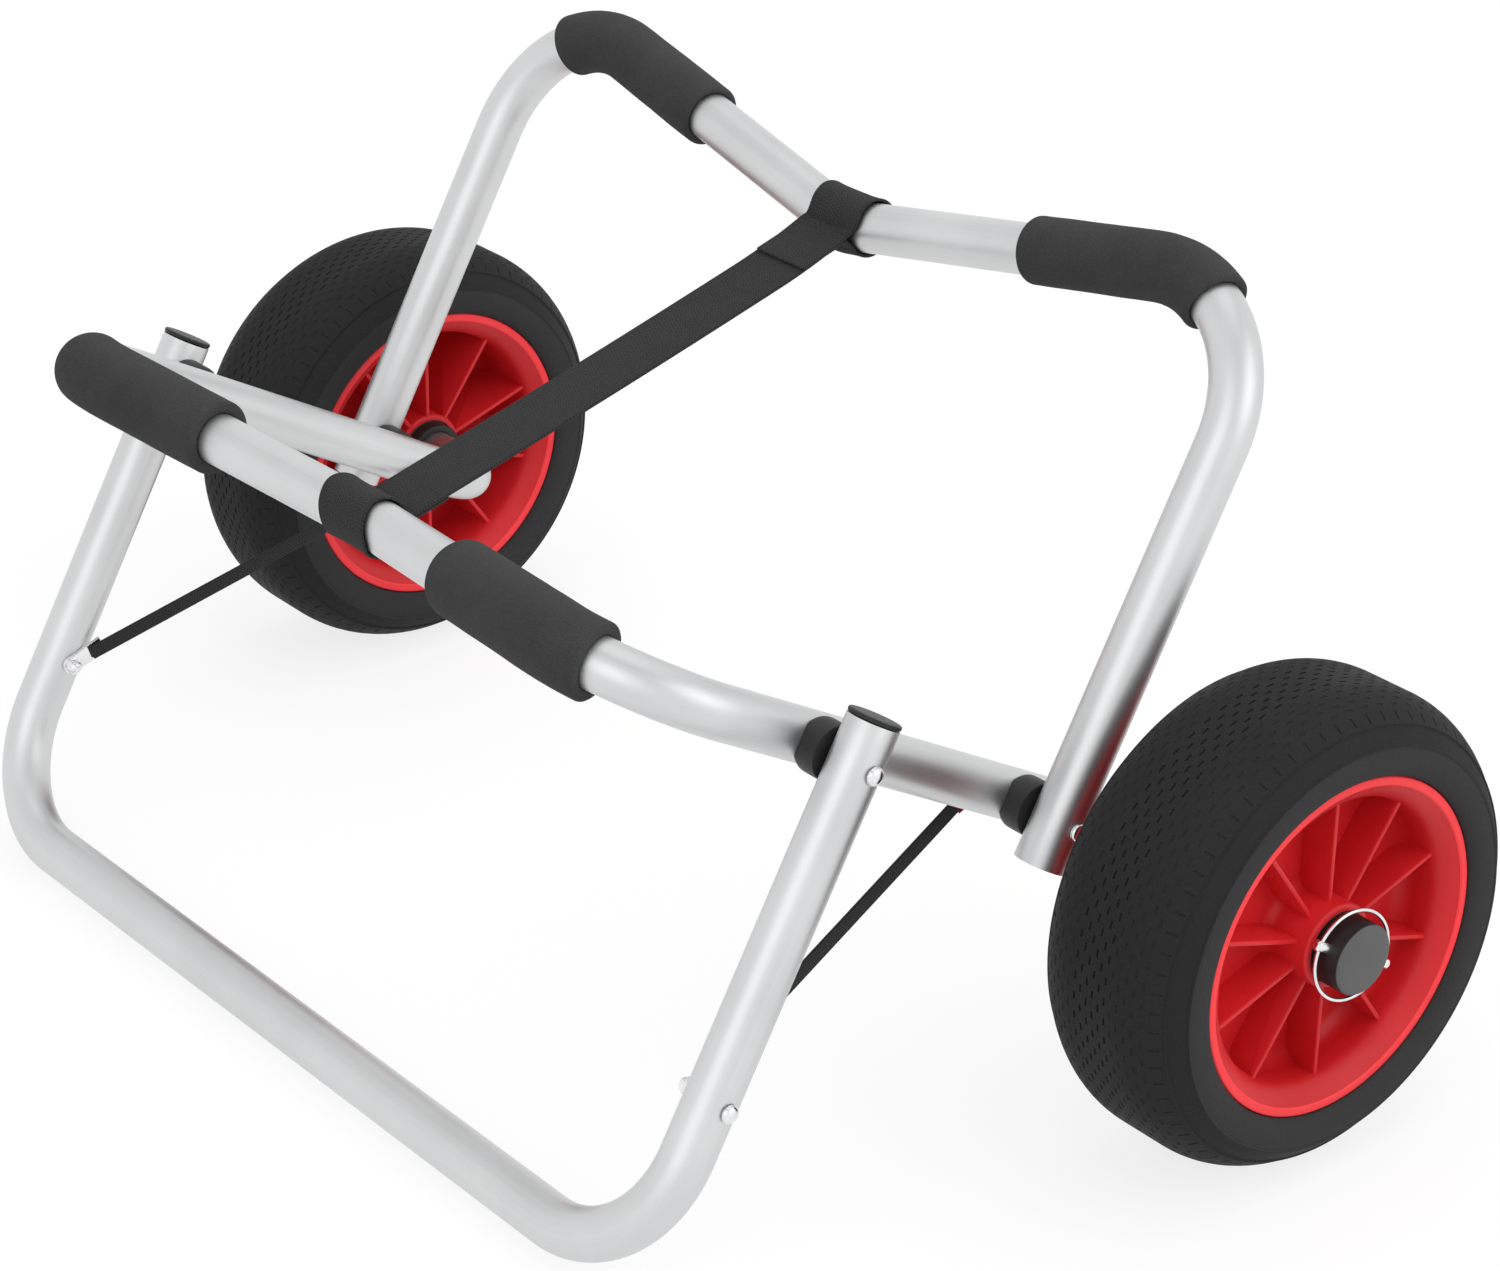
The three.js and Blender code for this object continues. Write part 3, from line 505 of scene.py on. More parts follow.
# Finishes: "mottle" holds the scales of cloud and grain, "shade" says how far each mask moves
# the colour from low to high, and each bump is a mask, a depth and a strength
cap = {"bore": 0.0130, "faceThickness": 0.0028, "rounding": 0.0012, "sides": 72, "crown": 0.0005,
       "face": ((1, 1), (0.3, 0.7), (0, 0.3))}    # shares of the crown and of the radius
looks = {
    "anodised_tube": {
        "name": "satinAnodisedTube", "metallic": 1.0, "unbent": True, "masks": lineMask,
        "streaks": {"Fineness": 1100.0, "Run": 5.0},
        "low": (0.60, 0.605, 0.61), "high": (0.74, 0.745, 0.75), "mottle": (14.0, 1500.0),
        "shade": {"Cloud": 0.5, "Lines": 0.5}, "roughness": (0.38, 0.50, "Shade"),
        "bumps": (("Grain", 0.00001, 0.5), ("Lines", 0.00002, 0.6)),
    },
    "foam": {
        "name": "closedCellFoam", "unbent": True, "masks": cellMask, "cellScale": 1500.0,
        "low": (0.036, 0.036, 0.037), "high": (0.078, 0.078, 0.080), "mottle": (30.0, 1300.0),
        "shade": {"Cloud": 0.35, "Grain": 0.5}, "roughness": (0.85, 0.97, "Cloud"),
        "bumps": (("Cells", 0.0004, 0.7), ("Grain", 0.0003, 0.6)),
        "specular": 0.15, "sheen": 0.04,
    },
    "webbing": {
        "name": "wideWebbing", "unbent": True, "masks": weaveMask, "fade": (0.3, 0.75),
        "threads": {"Thread_Across": 0.0013, "Thread_Along": 0.0018},
        "low": (0.012, 0.012, 0.013), "high": (0.058, 0.058, 0.060), "mottle": (60.0, 1800.0),
        "shade": {"Woven": 1.0}, "roughness": (0.78, 0.92, "Cloud"),
        "bumps": (("Height", 0.0004, 0.8),), "specular": 0.15, "sheen": 0.06,
    },
    "tyre_rubber": {
        "name": "tyreRubber", "masks": bandMask, "bandRadius": 0.0998,
        "low": (0.017, 0.017, 0.0175), "high": (0.032, 0.032, 0.033), "mottle": (18.0, 700.0),
        # painted light: the band beside the rim is painted paler, for the side light it catches
        "shade": {"Cloud": 0.4, "Grain": 0.3, "Band": 1.1}, "roughness": (0.60, 0.78, "Cloud"),
        "bumps": (("Grain", 0.0003, 0.5),), "specular": 0.12,
    },
    "red_rim": {
        "name": "mouldedRedPlastic", "masks": lipMask, "lipRadius": 0.0796,
        "low": (0.60, 0.012, 0.016), "high": (0.74, 0.024, 0.030), "mottle": (12.0, 1100.0),
        # painted highlight: the lip is painted paler than the bowl
        "shade": {"Cloud": 1.0, "Lip": 2.6}, "roughness": (0.34, 0.46, "Grain"),
        "bumps": (("Grain", 0.00006, 0.5),), "specular": 0.3,
    },
    "black_plastic": {
        "name": "mouldedBlackPlastic",
        "low": (0.009, 0.009, 0.009), "high": (0.021, 0.021, 0.022), "mottle": (25.0, 1500.0),
        "shade": {"Cloud": 1.0}, "roughness": (0.40, 0.55, "Grain"),
        "bumps": (("Grain", 0.0001, 0.6),), "specular": 0.35,
    },
    "axleCap": {
        "name": "axleCapPlastic", "masks": faceMask,
        "low": (0.008, 0.008, 0.008), "high": (0.122, 0.122, 0.123), "mottle": (60.0, 1500.0),
        # painted light and reflection: the cap's face is painted paler grey than its black sides
        "shade": {"Cloud": 0.12, "Face": 0.8}, "base": 0.03, "roughness": (0.42, 0.55, "Grain"),
        "bumps": (("Grain", 0.0001, 0.6),), "specular": 0.25,
    },
    "chrome_hardware": {
        "name": "platedSteel", "metallic": 1.0,
        "low": (0.72, 0.72, 0.73), "high": (0.88, 0.88, 0.89), "mottle": (120.0, 2500.0),
        "shade": {"Cloud": 1.0}, "roughness": (0.10, 0.24, "Grain"),
        "bumps": (("Grain", 0.00002, 0.5),),
    },
}


def newMaterial(name):
    material = bpy.data.materials.new(name)
    material.use_nodes = True
    return material, material.node_tree, material.node_tree.nodes["Principled BSDF"]


def plugAll(node, values):
    for label, value in values.items():
        plug(node.inputs[label], value)


def makeFinish(look):
    material, tree, shader = newMaterial(look["name"])
    if look.get("unbent"):
        vector = addNode(tree, "Attribute", attribute_name="unbent").outputs["Vector"]
    else:
        vector = addNode(tree, "TexCoord").outputs["Object"]
    cloudScale, grainScale = look["mottle"]
    masks = dict(placeGroup(tree, "mottle", Vector=vector, Cloud_Scale=cloudScale,
                            Grain_Scale=grainScale).items())
    if "masks" in look:
        masks.update(look["masks"](tree, vector, look, masks))
    shade = look.get("base", 0.0)
    for name, weight in look["shade"].items():
        shade = doMath(tree, "MULTIPLY_ADD", masks[name], weight, shade)
    masks["Shade"] = shade
    colour = addNode(tree, "Mix", data_type="RGBA", clamp_factor=False, A=(*look["low"], 1),
                     B=(*look["high"], 1), Factor=shade)
    low, high, guide = look["roughness"]
    roughness = addNode(tree, "MapRange", To_Min=low, To_Max=high, Value=masks[guide])
    under = {}
    for name, depth, strength in look["bumps"]:
        bump = addNode(tree, "Bump", Strength=strength, Distance=depth, Height=masks[name], **under)
        under = {"Normal": bump.outputs["Normal"]}
    plugAll(shader, {
        "Base Color": colour.outputs["Result"], "Roughness": roughness.outputs["Result"],
        "Metallic": look.get("metallic", 0.0), "Specular IOR Level": look.get("specular", 0.5),
        "Sheen Weight": look.get("sheen", 0.0), **under})
    return material


finishes = {key: makeFinish(look) for key, look in looks.items()}
print("finishes made")


def dress(piece, slot, nodes, body=None, finish=None):  # finish, replaced nodes and body
    piece.data.materials.clear()
    piece.data.materials.append(finishes[finish or slot])
    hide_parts(*nodes)
    if body:
        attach(piece, body)


def placePair(piece, place, slot, node, body, degrees=35, twinDegrees=35, finish=None):
    layIn(piece, place)
    smoothEdges(piece, degrees)
    for half, side in ((piece, "right"), (mirrorPiece(piece, twinDegrees), "left")):
        dress(half, slot, [f"{node}_{side}"], body.format(side), finish)


def rightBox(node):
    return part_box(node + "_right")


def middleOf(node):
    low, high = rightBox(node)
    return (low + high) / 2


def besideMiddle(place):  # the same place, but in the cart's middle plane
    return Vector((0, place.y, place.z))


def seatOf(node):
    return Matrix.Translation(besideMiddle(middleOf(node)))


# The three bent tubes
def hollowPipe(piece, route, plane, wall, rounding, segments, degrees):
    applyModifier(piece, "SOLIDIFY", thickness=wall, offset=-1)
    roundEdges(piece, rounding, segments=segments, degrees=60)
    markPoints(piece, lambda point: unbend(route, point))
    layIn(piece, plane)
    smoothEdges(piece, degrees)


def makeTube(name, route, plane, node, body):
    piece = pipeAlong(name, route, 0, routeLength(route), tubeRadius, tubeStock["ringSides"],
                      tubeStock["straightStep"], tubeStock["bendStep"])
    hollowPipe(piece, route, plane, tubeStock["wall"], tubeStock["cutRounding"], 2, 40)
    dress(piece, "anodised_tube", [node], body)


makeTube("frontTube", frontRoute, frontPlane, "front_frame_tube", "front_frame")
makeTube("rearTube", rearRoute, rearPlane, "rear_frame_tube", "rear_frame")
makeTube("kickstandTube", kickRoute, kickPlane, "kickstand_tube", "kickstand")
print("tubes bent")

# Foam sleeves on the slopes of both saddles
foamSleeve = {
    "rounding": 0.0032, "sides": 56, "step": 0.003,
    "swell": 0.0006,                # how far the skin wanders
    "swellSize": 0.035, "fill": 0.9,
    # wall, and each side's inner end from the cart's middle and outer end from the leg
    "front": {"wall": 0.0063, "left": (0.1051, 0.0341), "right": (0.0950, 0.0341)},
    "rear": {"wall": 0.0041, "left": (0.1238, 0.0328), "right": (0.1274, 0.0363)},
}


def makeSleeve(name, route, plane, start, end, thickness, node, body):
    radius = tubeRadius + thickness
    piece = pipeAlong(name, route, start, end, radius, foamSleeve["sides"],
                      foamSleeve["step"], foamSleeve["step"])
    swell = bpy.data.textures.new(name + "Swell", "CLOUDS")
    swell.noise_scale = foamSleeve["swellSize"]
    applyModifier(piece, "DISPLACE", texture=swell, strength=foamSleeve["swell"], mid_level=0.6)
    hollowPipe(piece, route, plane, thickness - seatGap, foamSleeve["rounding"], 5, 50)
    dress(piece, "foam", [node], body)


def makeSleeves(frame, route, plane, halfWidth):
    for side, sign in (("left", -1), ("right", 1)):
        inner, inset = foamSleeve[frame][side]
        ends = sorted(lengthAcross(route, sign * across) for across in (inner, halfWidth - inset))
        makeSleeve(frame + "Sleeve" + side.title(), route, plane, *ends,
                   foamSleeve[frame]["wall"], f"{frame}_pad_{side}", frame + "_frame")


makeSleeves("front", frontRoute, frontPlane, frontHalf)
makeSleeves("rear", rearRoute, rearPlane, outerHalfWidth)
print("foam sleeves made")

# Spacers, bolts and nuts at the pivots
spacer = {"overhang": 0.0008, "wrap": 0.0055, "sides": 64, "rounding": 0.0005,
          "shoulder": 0.0045, "shoulderSteps": 6}
bolt = {"radius": 0.0025, "tipShare": 0.7, "tipLength": 0.0008, "headRadius": 0.0046,
        "headHeight": 0.003, "washer": 0.0006, "domeShare": 0.95, "domeTop": 12,
        "domeSteps": 8, "sides": 40}
nut = {"width": 0.008, "hexHeight": 0.003, "rounding": 0.0004, "domeShare": 0.44,
       "sunk": 0.0005, "cover": 0.0003, "tipShare": 0.15}


def makeSpacer(node):
    radius = tubeRadius + spacer["overhang"]
    shoulder = spacer["shoulder"]
    inner = frontHalf + tubeRadius - spacer["wrap"]
    outline = arcPoints((inner + shoulder, radius - shoulder), shoulder, 180, 90,
                        spacer["shoulderSteps"]) + [(rightBox(node)[1].x, radius)]
    piece = turnPiece(pieceName(node), outline, spacer["sides"])
    bpy.ops.mesh.primitive_cylinder_add(
        vertices=spacer["sides"], radius=tubeRadius + seatGap, depth=4 * radius,
        location=(frontHalf, 0, 0), rotation=(math.pi / 2, 0, 0))
    cutAway(piece, bpy.context.object)
    roundEdges(piece, spacer["rounding"])
    placePair(piece, seatOf(node) @ frontTurn, "black_plastic", node, "front_frame")


def makeBolt(node, body):
    low, high = rightBox(node)
    seat = high.x - bolt["headHeight"]
    brim = seat + bolt["washer"]
    domeRadius = bolt["headRadius"] * bolt["domeShare"]
    rise = (bolt["headHeight"] - bolt["washer"]) / domeRadius
    outline = [(low.x, bolt["radius"] * bolt["tipShare"]),
               (low.x + bolt["tipLength"], bolt["radius"]), (seat, bolt["radius"]),
               (seat, bolt["headRadius"]), (brim, bolt["headRadius"])]
    for place, radius in arcPoints((0, 0), domeRadius, 90, bolt["domeTop"], bolt["domeSteps"]):
        outline.append((brim + place * rise, radius))
    piece = turnPiece(pieceName(node), outline, bolt["sides"])
    placePair(piece, seatOf(node), "chrome_hardware", node, body, 40)


def makeNut(node, body, boltEnd):  # a hexagon with a domed end toward the cart's middle
    high = rightBox(node)[1]
    reach = high.x - nut["hexHeight"]
    corner = nut["width"] / math.sqrt(3)
    domeRadius = nut["width"] * nut["domeShare"]
    depth = reach - boltEnd + nut["cover"]
    piece = turnPiece(pieceName(node), [(high.x, corner), (reach, corner)], 6)
    roundEdges(piece, nut["rounding"], segments=2)
    dome = [(reach + nut["sunk"], domeRadius)]
    for place, radius in arcPoints((0, 0), 1, 90, 170, bolt["domeSteps"]):
        dome.append((reach + place * depth, domeRadius * max(radius, nut["tipShare"])))
    cutAway(piece, turnPiece("nutDome", dome, bolt["sides"]), "UNION")
    placePair(piece, seatOf(node), "chrome_hardware", node, body)


for node in ("rear_pivot_spacer", "kick_pivot_spacer"):
    makeSpacer(node)
for place, body in (("rear_pivot", "front_frame"), ("kick_pivot", "front_frame"),
                    ("kick_strap", "kickstand")):
    makeBolt(place + "_bolt", body)
    makeNut(place + "_nut", body, rightBox(place + "_bolt")[0].x)
print("pivot hardware made")

# Caps on the kickstand's upper ends
legCap = {"thickness": 0.0022, "plugDepth": 0.010, "gap": 0.0003, "rounding": 0.0008}


def makeLegCap():
    gap = legCap["gap"]
    plugRadius = tubeRadius - tubeStock["wall"] - gap
    outline = [(-legCap["plugDepth"], plugRadius), (gap, plugRadius), (gap, tubeRadius),
               (gap + legCap["thickness"], tubeRadius)]
    piece = turnPiece(pieceName("kickstand_cap"), outline, tubeStock["ringSides"])
    roundEdges(piece, legCap["rounding"], segments=4)
    place = Matrix.Translation((outerHalfWidth, -kickTube["tail"], 0))
    placePair(piece, kickPlane @ place @ Matrix.Rotation(-math.pi / 2, 4, "Z"),
              "black_plastic", "kickstand_cap", "kickstand")


makeLegCap()

# Wheels: tyre, rim and bushes, built round the right wheel's centre
rim = {
    "sides": 112, "halfWidth": 0.04125, "seatRadius": 0.080, "lipRadius": 0.0843,
    "lipThickness": 0.0032, "seatStep": 0.0005, "lipBand": 0.0048, "boreRadius": 0.0705,
    "hubRadius": 0.021, "hubBore": 0.0178, "hubHalf": 0.03225, "webOuter": 0.01325,
    "webInner": 0.00825, "webFillet": 0.0090, "hubFillet": 0.0060,
    "flare": 0.0110,                # how deep the lip's flare reaches into the bowl
    "flareShares": (0.1, 0.22, 0.36, 0.52, 0.7, 1), "flareEdge": (0.0007, 0.0008),
    "lipRounding": 0.0012, "ribCount": 10,
    "ribStart": 17,                 # degrees
    "ribThickness": 0.0024, "ribRounding": 0.0007, "ribDrop": 0.0004, "ribOverlap": 0.005,
    "hubRounding": 0.0018,
}
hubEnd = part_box("outer_bush_right")[1].x - wheelPlace.x


def rimFace(sign, web):  # the bowl's outline on one side, from the lip to the hub's bore
    half, bore, hub = rim["halfWidth"], rim["boreRadius"], rim["hubRadius"]
    fillet, small, soft = rim["webFillet"], rim["hubFillet"], rim["lipRounding"]
    outline = arcPoints((half - soft, rim["lipRadius"] - soft), soft, 90, 0, 4)
    lip = rim["lipRadius"] - rim["lipBand"]
    drop, rise = rim["flareEdge"]
    outline += [(half, lip + rise), (half - drop, lip)]
    for share in rim["flareShares"]:
        outline.append((half - drop - rim["flare"] * share, bore + (lip - bore) * (1 - share) ** 2))
    depth = sign * web
    outline += arcPoints((depth + fillet, bore - fillet), fillet, 90, 180, 7)
    outline += arcPoints((depth + small, hub + small), small, 180, 270, 5)
    end = hubEnd if sign > 0 else rim["hubHalf"]
    edge = rim["hubRounding"]
    outline += arcPoints((end - edge, hub - edge), edge, 90, 0, 4) + [(end, rim["hubBore"])]
    return [(sign * across, radius) for across, radius in outline]


def makeRim():
    shelf = rim["halfWidth"] - rim["lipThickness"]
    foot = rim["lipRadius"] - rim["seatStep"]
    seat = [(-shelf, foot), (-shelf, rim["seatRadius"]), (shelf, rim["seatRadius"]), (shelf, foot)]
    outline = rimFace(1, rim["webOuter"]) + rimFace(-1, rim["webInner"])[::-1] + seat
    piece = turnPiece("rimRight", outline, rim["sides"], closed=True)
    for index in range(rim["ribCount"]):
        rib = addShape("rib", bpy.ops.mesh.primitive_cube_add, size=1)
        rib.scale = (2 * rim["hubHalf"] - rim["ribDrop"],
                     rim["boreRadius"] - rim["hubRadius"] + rim["ribOverlap"], rim["ribThickness"])
        settle(rib)
        roundEdges(rib, rim["ribRounding"], segments=2)
        rib.location = (0, (rim["boreRadius"] + rim["hubRadius"]) / 2, 0)
        settle(rib)
        layIn(rib, leanBy(rim["ribStart"] + 360 * index / rim["ribCount"]))
        cutAway(piece, rib, "UNION")
    placePair(piece, Matrix.Translation(wheelPlace), "red_rim", "rim", "wheel_{}", 30, 32)


tyre = {
    "radius": 0.1186, "crownHalf": 0.0129, "arcRadius": 0.0567, "arcReach": 0.0425,
    "pitches": 72,
    "deepRows": (0.0019, 0.0057, 0.0095),    # from the middle, across
    "shallowRows": (0.0133, 0.0171, 0.0209, 0.0248, 0.0287), "grooveHalf": 0.0006,
    "grooveSlope": 0.00022, "shoulderLean": 0.6, "deepGroove": 0.0008, "shallowGroove": 0.0003,
    "sipe": (0.0318, 0.0358),       # short cuts across the shoulder
    "sipeDepth": 0.0004, "ridge": (0.0370, 0.0375, 0.0380), "ridgeHeight": 0.0004,
    "ridgeLean": 0.7, "plainSide": (0.0400, 0.0420, 0.0436), "sideDrop": 0.0003,
    "sidewall": (
        (0.0441, 0.1007), (0.0446, 0.1004), (0.0448, 0.0999), (0.0447, 0.0994), (0.0444, 0.0990),
        (0.0448, 0.0975), (0.0451, 0.0950), (0.0450, 0.0920), (0.0446, 0.0892), (0.0438, 0.0870),
        (0.0427, 0.0855), (0.0418, 0.0848),
    ),
    "phases": (0, 0.06, 0.44, 0.5, 0.56, 0.94, 1),
}


def tyreArc(across):  # the radius of the tyre's outside at a place across it
    if across <= tyre["crownHalf"]:
        return tyre["radius"]
    angle = math.asin((across - tyre["crownHalf"]) / tyre["arcReach"])
    return tyre["radius"] - tyre["arcRadius"] * (1 - math.cos(angle))


def tyreHalf():  # half of the section, from the crown's middle to the seat
    stations = [0.0, *tyre["sipe"]]
    for row in tyre["deepRows"] + tyre["shallowRows"]:
        stations += [row - tyre["grooveHalf"], row + tyre["grooveHalf"]]
    points = [(across, tyreArc(across)) for across in sorted(stations)]
    for across, lift in zip(tyre["ridge"], (0, tyre["ridgeHeight"], -tyre["sideDrop"])):
        points.append((across + lift * tyre["ridgeLean"], tyreArc(across) + lift))
    points += [(across, tyreArc(across) - tyre["sideDrop"]) for across in tyre["plainSide"]]
    lip = rim["lipRadius"] + seatGap
    bead = rim["halfWidth"] - rim["lipThickness"] - seatGap
    points += [*tyre["sidewall"], (rim["halfWidth"] + 0.0001, lip), (bead, lip)]
    return points + [(bead, rim["seatRadius"] + seatGap)]


def pickTread(section, cells):  # the cells of deep and shallow grooves and of cuts, by place
    deep, shallow, sipes = set(), set(), set()
    for index, (column, row) in cells.items():
        if section[column][1] < tyre["radius"] * 0.8:    # the seat, under the tread
            continue
        across = (section[column][0] + section[column + 1][0]) / 2
        for order, place in enumerate(tyre["deepRows"] + tyre["shallowRows"]):
            wanted = 1 if (order + (across < 0)) % 2 == 0 else 4
            if row == wanted and abs(abs(across) - place) < tyre["grooveHalf"] * 0.5:
                (deep if place in tyre["deepRows"] else shallow).add(index)
        if row in (2, 3) and tyre["sipe"][0] < abs(across) < tyre["sipe"][1]:
            sipes.add(index)
    return (deep, tyre["deepGroove"]), (shallow, tyre["shallowGroove"]), (sipes, tyre["sipeDepth"])


def sinkCells(piece, chosen, depth):  # insets the cells and moves them in, square to the tyre
    enterEdit(piece)
    bpy.ops.mesh.select_mode(type="FACE")
    bpy.ops.mesh.select_all(action="DESELECT")
    shape = bmesh.from_edit_mesh(piece.data)
    shape.faces.ensure_lookup_table()
    for index in chosen:
        shape.faces[index].select_set(True)
    bmesh.update_edit_mesh(piece.data)
    bpy.ops.mesh.inset(thickness=tyre["grooveSlope"], depth=0)
    shape = bmesh.from_edit_mesh(piece.data)
    for vertex in shape.verts:
        if vertex.select:
            onShoulder = abs(vertex.co.x) > tyre["crownHalf"]
            lean = vertex.co.x / tyre["arcReach"] * tyre["shoulderLean"] * onShoulder
            spoke = besideMiddle(vertex.co).normalized() + Vector((lean, 0, 0))
            vertex.co -= spoke.normalized() * depth
    bmesh.update_edit_mesh(piece.data)
    bpy.ops.object.mode_set(mode="OBJECT")


def makeTyre():  # one pitch of the tread, spun into a ring
    half = tyreHalf()
    section = half + [(-across, radius) for across, radius in half[::-1][:-1]]
    section.append(section[0])
    columns, rows = len(section) - 1, len(tyre["phases"]) - 1
    piece = addShape("tyreRight", bpy.ops.mesh.primitive_grid_add, x_subdivisions=columns,
                     y_subdivisions=rows, size=1)
    stepAngle = 2 * math.pi / tyre["pitches"]
    cells = {}
    for polygon in piece.data.polygons:
        corners = [piece.data.vertices[index].co for index in polygon.vertices]
        column = round((min(corner.x for corner in corners) + 0.5) * columns)
        row = round((min(corner.y for corner in corners) + 0.5) * rows)
        cells[polygon.index] = (column, row)
    for vertex in piece.data.vertices:
        across, radius = section[round((vertex.co.x + 0.5) * columns)]
        angle = tyre["phases"][round((vertex.co.y + 0.5) * rows)] * stepAngle
        vertex.co = (across, radius * math.sin(angle), radius * math.cos(angle))
    for chosen, depth in pickTread(section, cells):
        sinkCells(piece, chosen, depth)
    enterEdit(piece)
    turns = tyre["pitches"] - 1
    bpy.ops.mesh.spin(steps=turns, angle=stepAngle * turns, center=(0, 0, 0), axis=(1, 0, 0),
                      dupli=True)
    closeShape()
    placePair(piece, Matrix.Translation(wheelPlace), "tyre_rubber", "tyre", "wheel_{}", 32, 32)


makeTyre()
makeRim()

# Bushes in the hubs, and the axle ends: collar, cap, lock pin and wire ring
bush = {"radius": 0.0175, "bore": 0.0132, "rounding": 0.0008, "sides": 64}
collar = {"bore": 0.0130, "rounding": 0.0007}
lockPin = {"radius": 0.00275, "taper": 0.0012, "sides": 32, "rounding": 0.0004}
wireRing = {"wire": 0.001, "sides": 14, "steps": 96}


def makeBush(node, outer, bore, rounding, body):
    low, high = rightBox(node)
    outline = [(low.x, bore), (low.x, outer), (high.x, outer), (high.x, bore)]
    piece = turnPiece(pieceName(node), outline, bush["sides"], closed=True)
    roundEdges(piece, rounding)
    placePair(piece, Matrix.Translation(axleLine), "black_plastic", node, body)


def makeCap():
    low, high = rightBox("axle_end_cap")
    outer = (high.y - low.y) / 2
    face = [(high.x - cap["crown"] * drop, outer * share) for drop, share in cap["face"]]
    piece = turnPiece("axleCapRight", [(low.x, outer)] + face, cap["sides"])
    hollow = [(low.x - 0.002, cap["bore"]), (high.x - cap["faceThickness"], cap["bore"])]
    cutAway(piece, turnPiece("capHollow", hollow, cap["sides"]))
    roundEdges(piece, cap["rounding"], segments=4, degrees=50)
    placePair(piece, Matrix.Translation(axleLine), "black_plastic", "axle_end_cap",
              "front_frame", 30, finish="axleCap")


def makeLockPin():  # it stands along the front frame's legs
    low, high = rightBox("lock_pin")
    radius, taper = lockPin["radius"], lockPin["taper"]
    lean = math.radians(frontTube["lean"])
    half = (high.z - low.z - 2 * radius * abs(math.cos(lean))) / 2 / abs(math.sin(lean))
    outline = [(-half, radius - taper), (-half + taper, radius), (half - taper, radius),
               (half, radius - taper)]
    piece = turnPiece("lockPinRight", outline, lockPin["sides"])
    roundEdges(piece, lockPin["rounding"], degrees=20)
    place = Matrix.Translation(middleOf("lock_pin")) @ frontTurn
    placePair(piece, place @ Matrix.Rotation(math.pi / 2, 4, "Z"), "chrome_hardware",
              "lock_pin", "front_frame")


def makeWireRing():
    low, high = rightBox("lock_ring")
    wire = wireRing["wire"]
    points = [vertex.co for vertex in frame["nodes"]["lock_ring_right"].data.vertices]
    ringRadius = max((point - middleOf("lock_ring")).length for point in points) - wire
    tilt = math.asin((high.x - low.x - 2 * wire) / (2 * ringRadius))
    piece = addShape("wireRingRight", bpy.ops.mesh.primitive_circle_add, radius=wire,
                     vertices=wireRing["sides"], rotation=(math.pi / 2, 0, 0),
                     location=(0, 0, ringRadius))
    enterEdit(piece)
    bpy.ops.mesh.spin(steps=wireRing["steps"], angle=2 * math.pi, center=(0, 0, 0),
                      axis=(1, 0, 0))
    closeShape()
    place = Matrix.Translation(joints["right_lock_ring_swing"]["pos_m"]) @ frontTurn
    place = place @ Matrix.Rotation(tilt, 4, "Z") @ Matrix.Translation((0, -ringRadius, 0))
    placePair(piece, place, "chrome_hardware", "lock_ring", "pin_ring_{}", 60, 60)


for node in ("outer_bush", "inner_bush"):
    makeBush(node, bush["radius"], bush["bore"], bush["rounding"], "wheel_{}")
print("wheels made")
collarBox = rightBox("axle_collar")
makeBush("axle_collar", (collarBox[1].y - collarBox[0].y) / 2, collar["bore"],
         collar["rounding"], "front_frame")
makeCap()
makeLockPin()
makeWireRing()
print("axle ends made")

# The wide strap: sewn loops round both dips and a band between them
strap = {
    "halfWidth": 0.0185, "thickness": 0.0016, "columns": 20, "loopRows": 40, "flankRows": 6,
    "bandRows": 52, "tailRows": 6,
    "join": 0.0152,                 # where the loop's two sides meet, from the tube's middle
    "tails": (0.0360, 0.0450),      # how far the sewn ends reach, from the tubes' middles
    "tailShifts": (0, 0.0015),      # and how far off line they are sewn
    "seat": 0.6,                    # from the tube's skin to the strap's middle, in thicknesses
    "solid": 0.9, "rounding": 0.0004,
    "slack": 0.95,                  # how closely the strap follows the outside of a dip
    "bandHeights": (-0.0015, 0.0018),
    "rearLift": 0.0032,             # the band's last rise to the rear loop, and where it begins
    "rearStart": 0.84, "sag": 0.0012, "edgeLift": 0.0006,
    # degrees round the tube from the band over the top, left edge, right edge and its lift
    "frontLoop": (
        (0, -0.0185, 0.0185, 0), (45, -0.0190, 0.0168, 0), (90, -0.0195, 0.0165, 0),
        (135, -0.0162, 0.0210, 0), (180, -0.0132, 0.0248, 0), (225, -0.0145, 0.0192, 0),
        (270, -0.0170, 0.0172, 0), (320, -0.0185, 0.0185, 0), (360, -0.0185, 0.0185, 0),
    ),
    "rearLoop": (
        (0, -0.0185, 0.0185, 0), (35, -0.0145, 0.0220, 0), (70, -0.0160, 0.0210, 0.0002),
        (100, -0.0175, 0.0200, 0.0003), (180, -0.0180, 0.0190, 0.0003),
        (270, -0.0170, 0.0180, 0.0002), (320, -0.0180, 0.0185, 0), (360, -0.0185, 0.0185, 0),
    ),
}
stitch = {"length": 0.0024, "width": 0.0005, "pitch": 0.0031, "inset": 0.0024, "columns": 4,
          "height": 0.42}


def dipRise(route, across):  # how far a frame's dip has climbed at a place across it
    lowest = alongRoute(route, routeLength(route) / 2)[0]
    return (alongRoute(route, lengthAcross(route, across))[0] - lowest).y


def edgesAt(table, degrees):  # the strap's left edge, right edge and lift at a turn round the tube
    place = max(index for index, row in enumerate(table[:-1]) if row[0] <= degrees)
    before, start, end, after = (
        table[min(max(place + step, 0), len(table) - 1)] for step in (-1, 0, 1, 2))
    share = (degrees - start[0]) / (end[0] - start[0])
    values = []
    for one, two, three, four in zip(before[1:], start[1:], end[1:], after[1:]):
        bend = 2 * one - 5 * two + 4 * three - four + share * (3 * (two - three) + four - one)
        values.append(two + 0.5 * share * (three - one + share * bend))
    return values


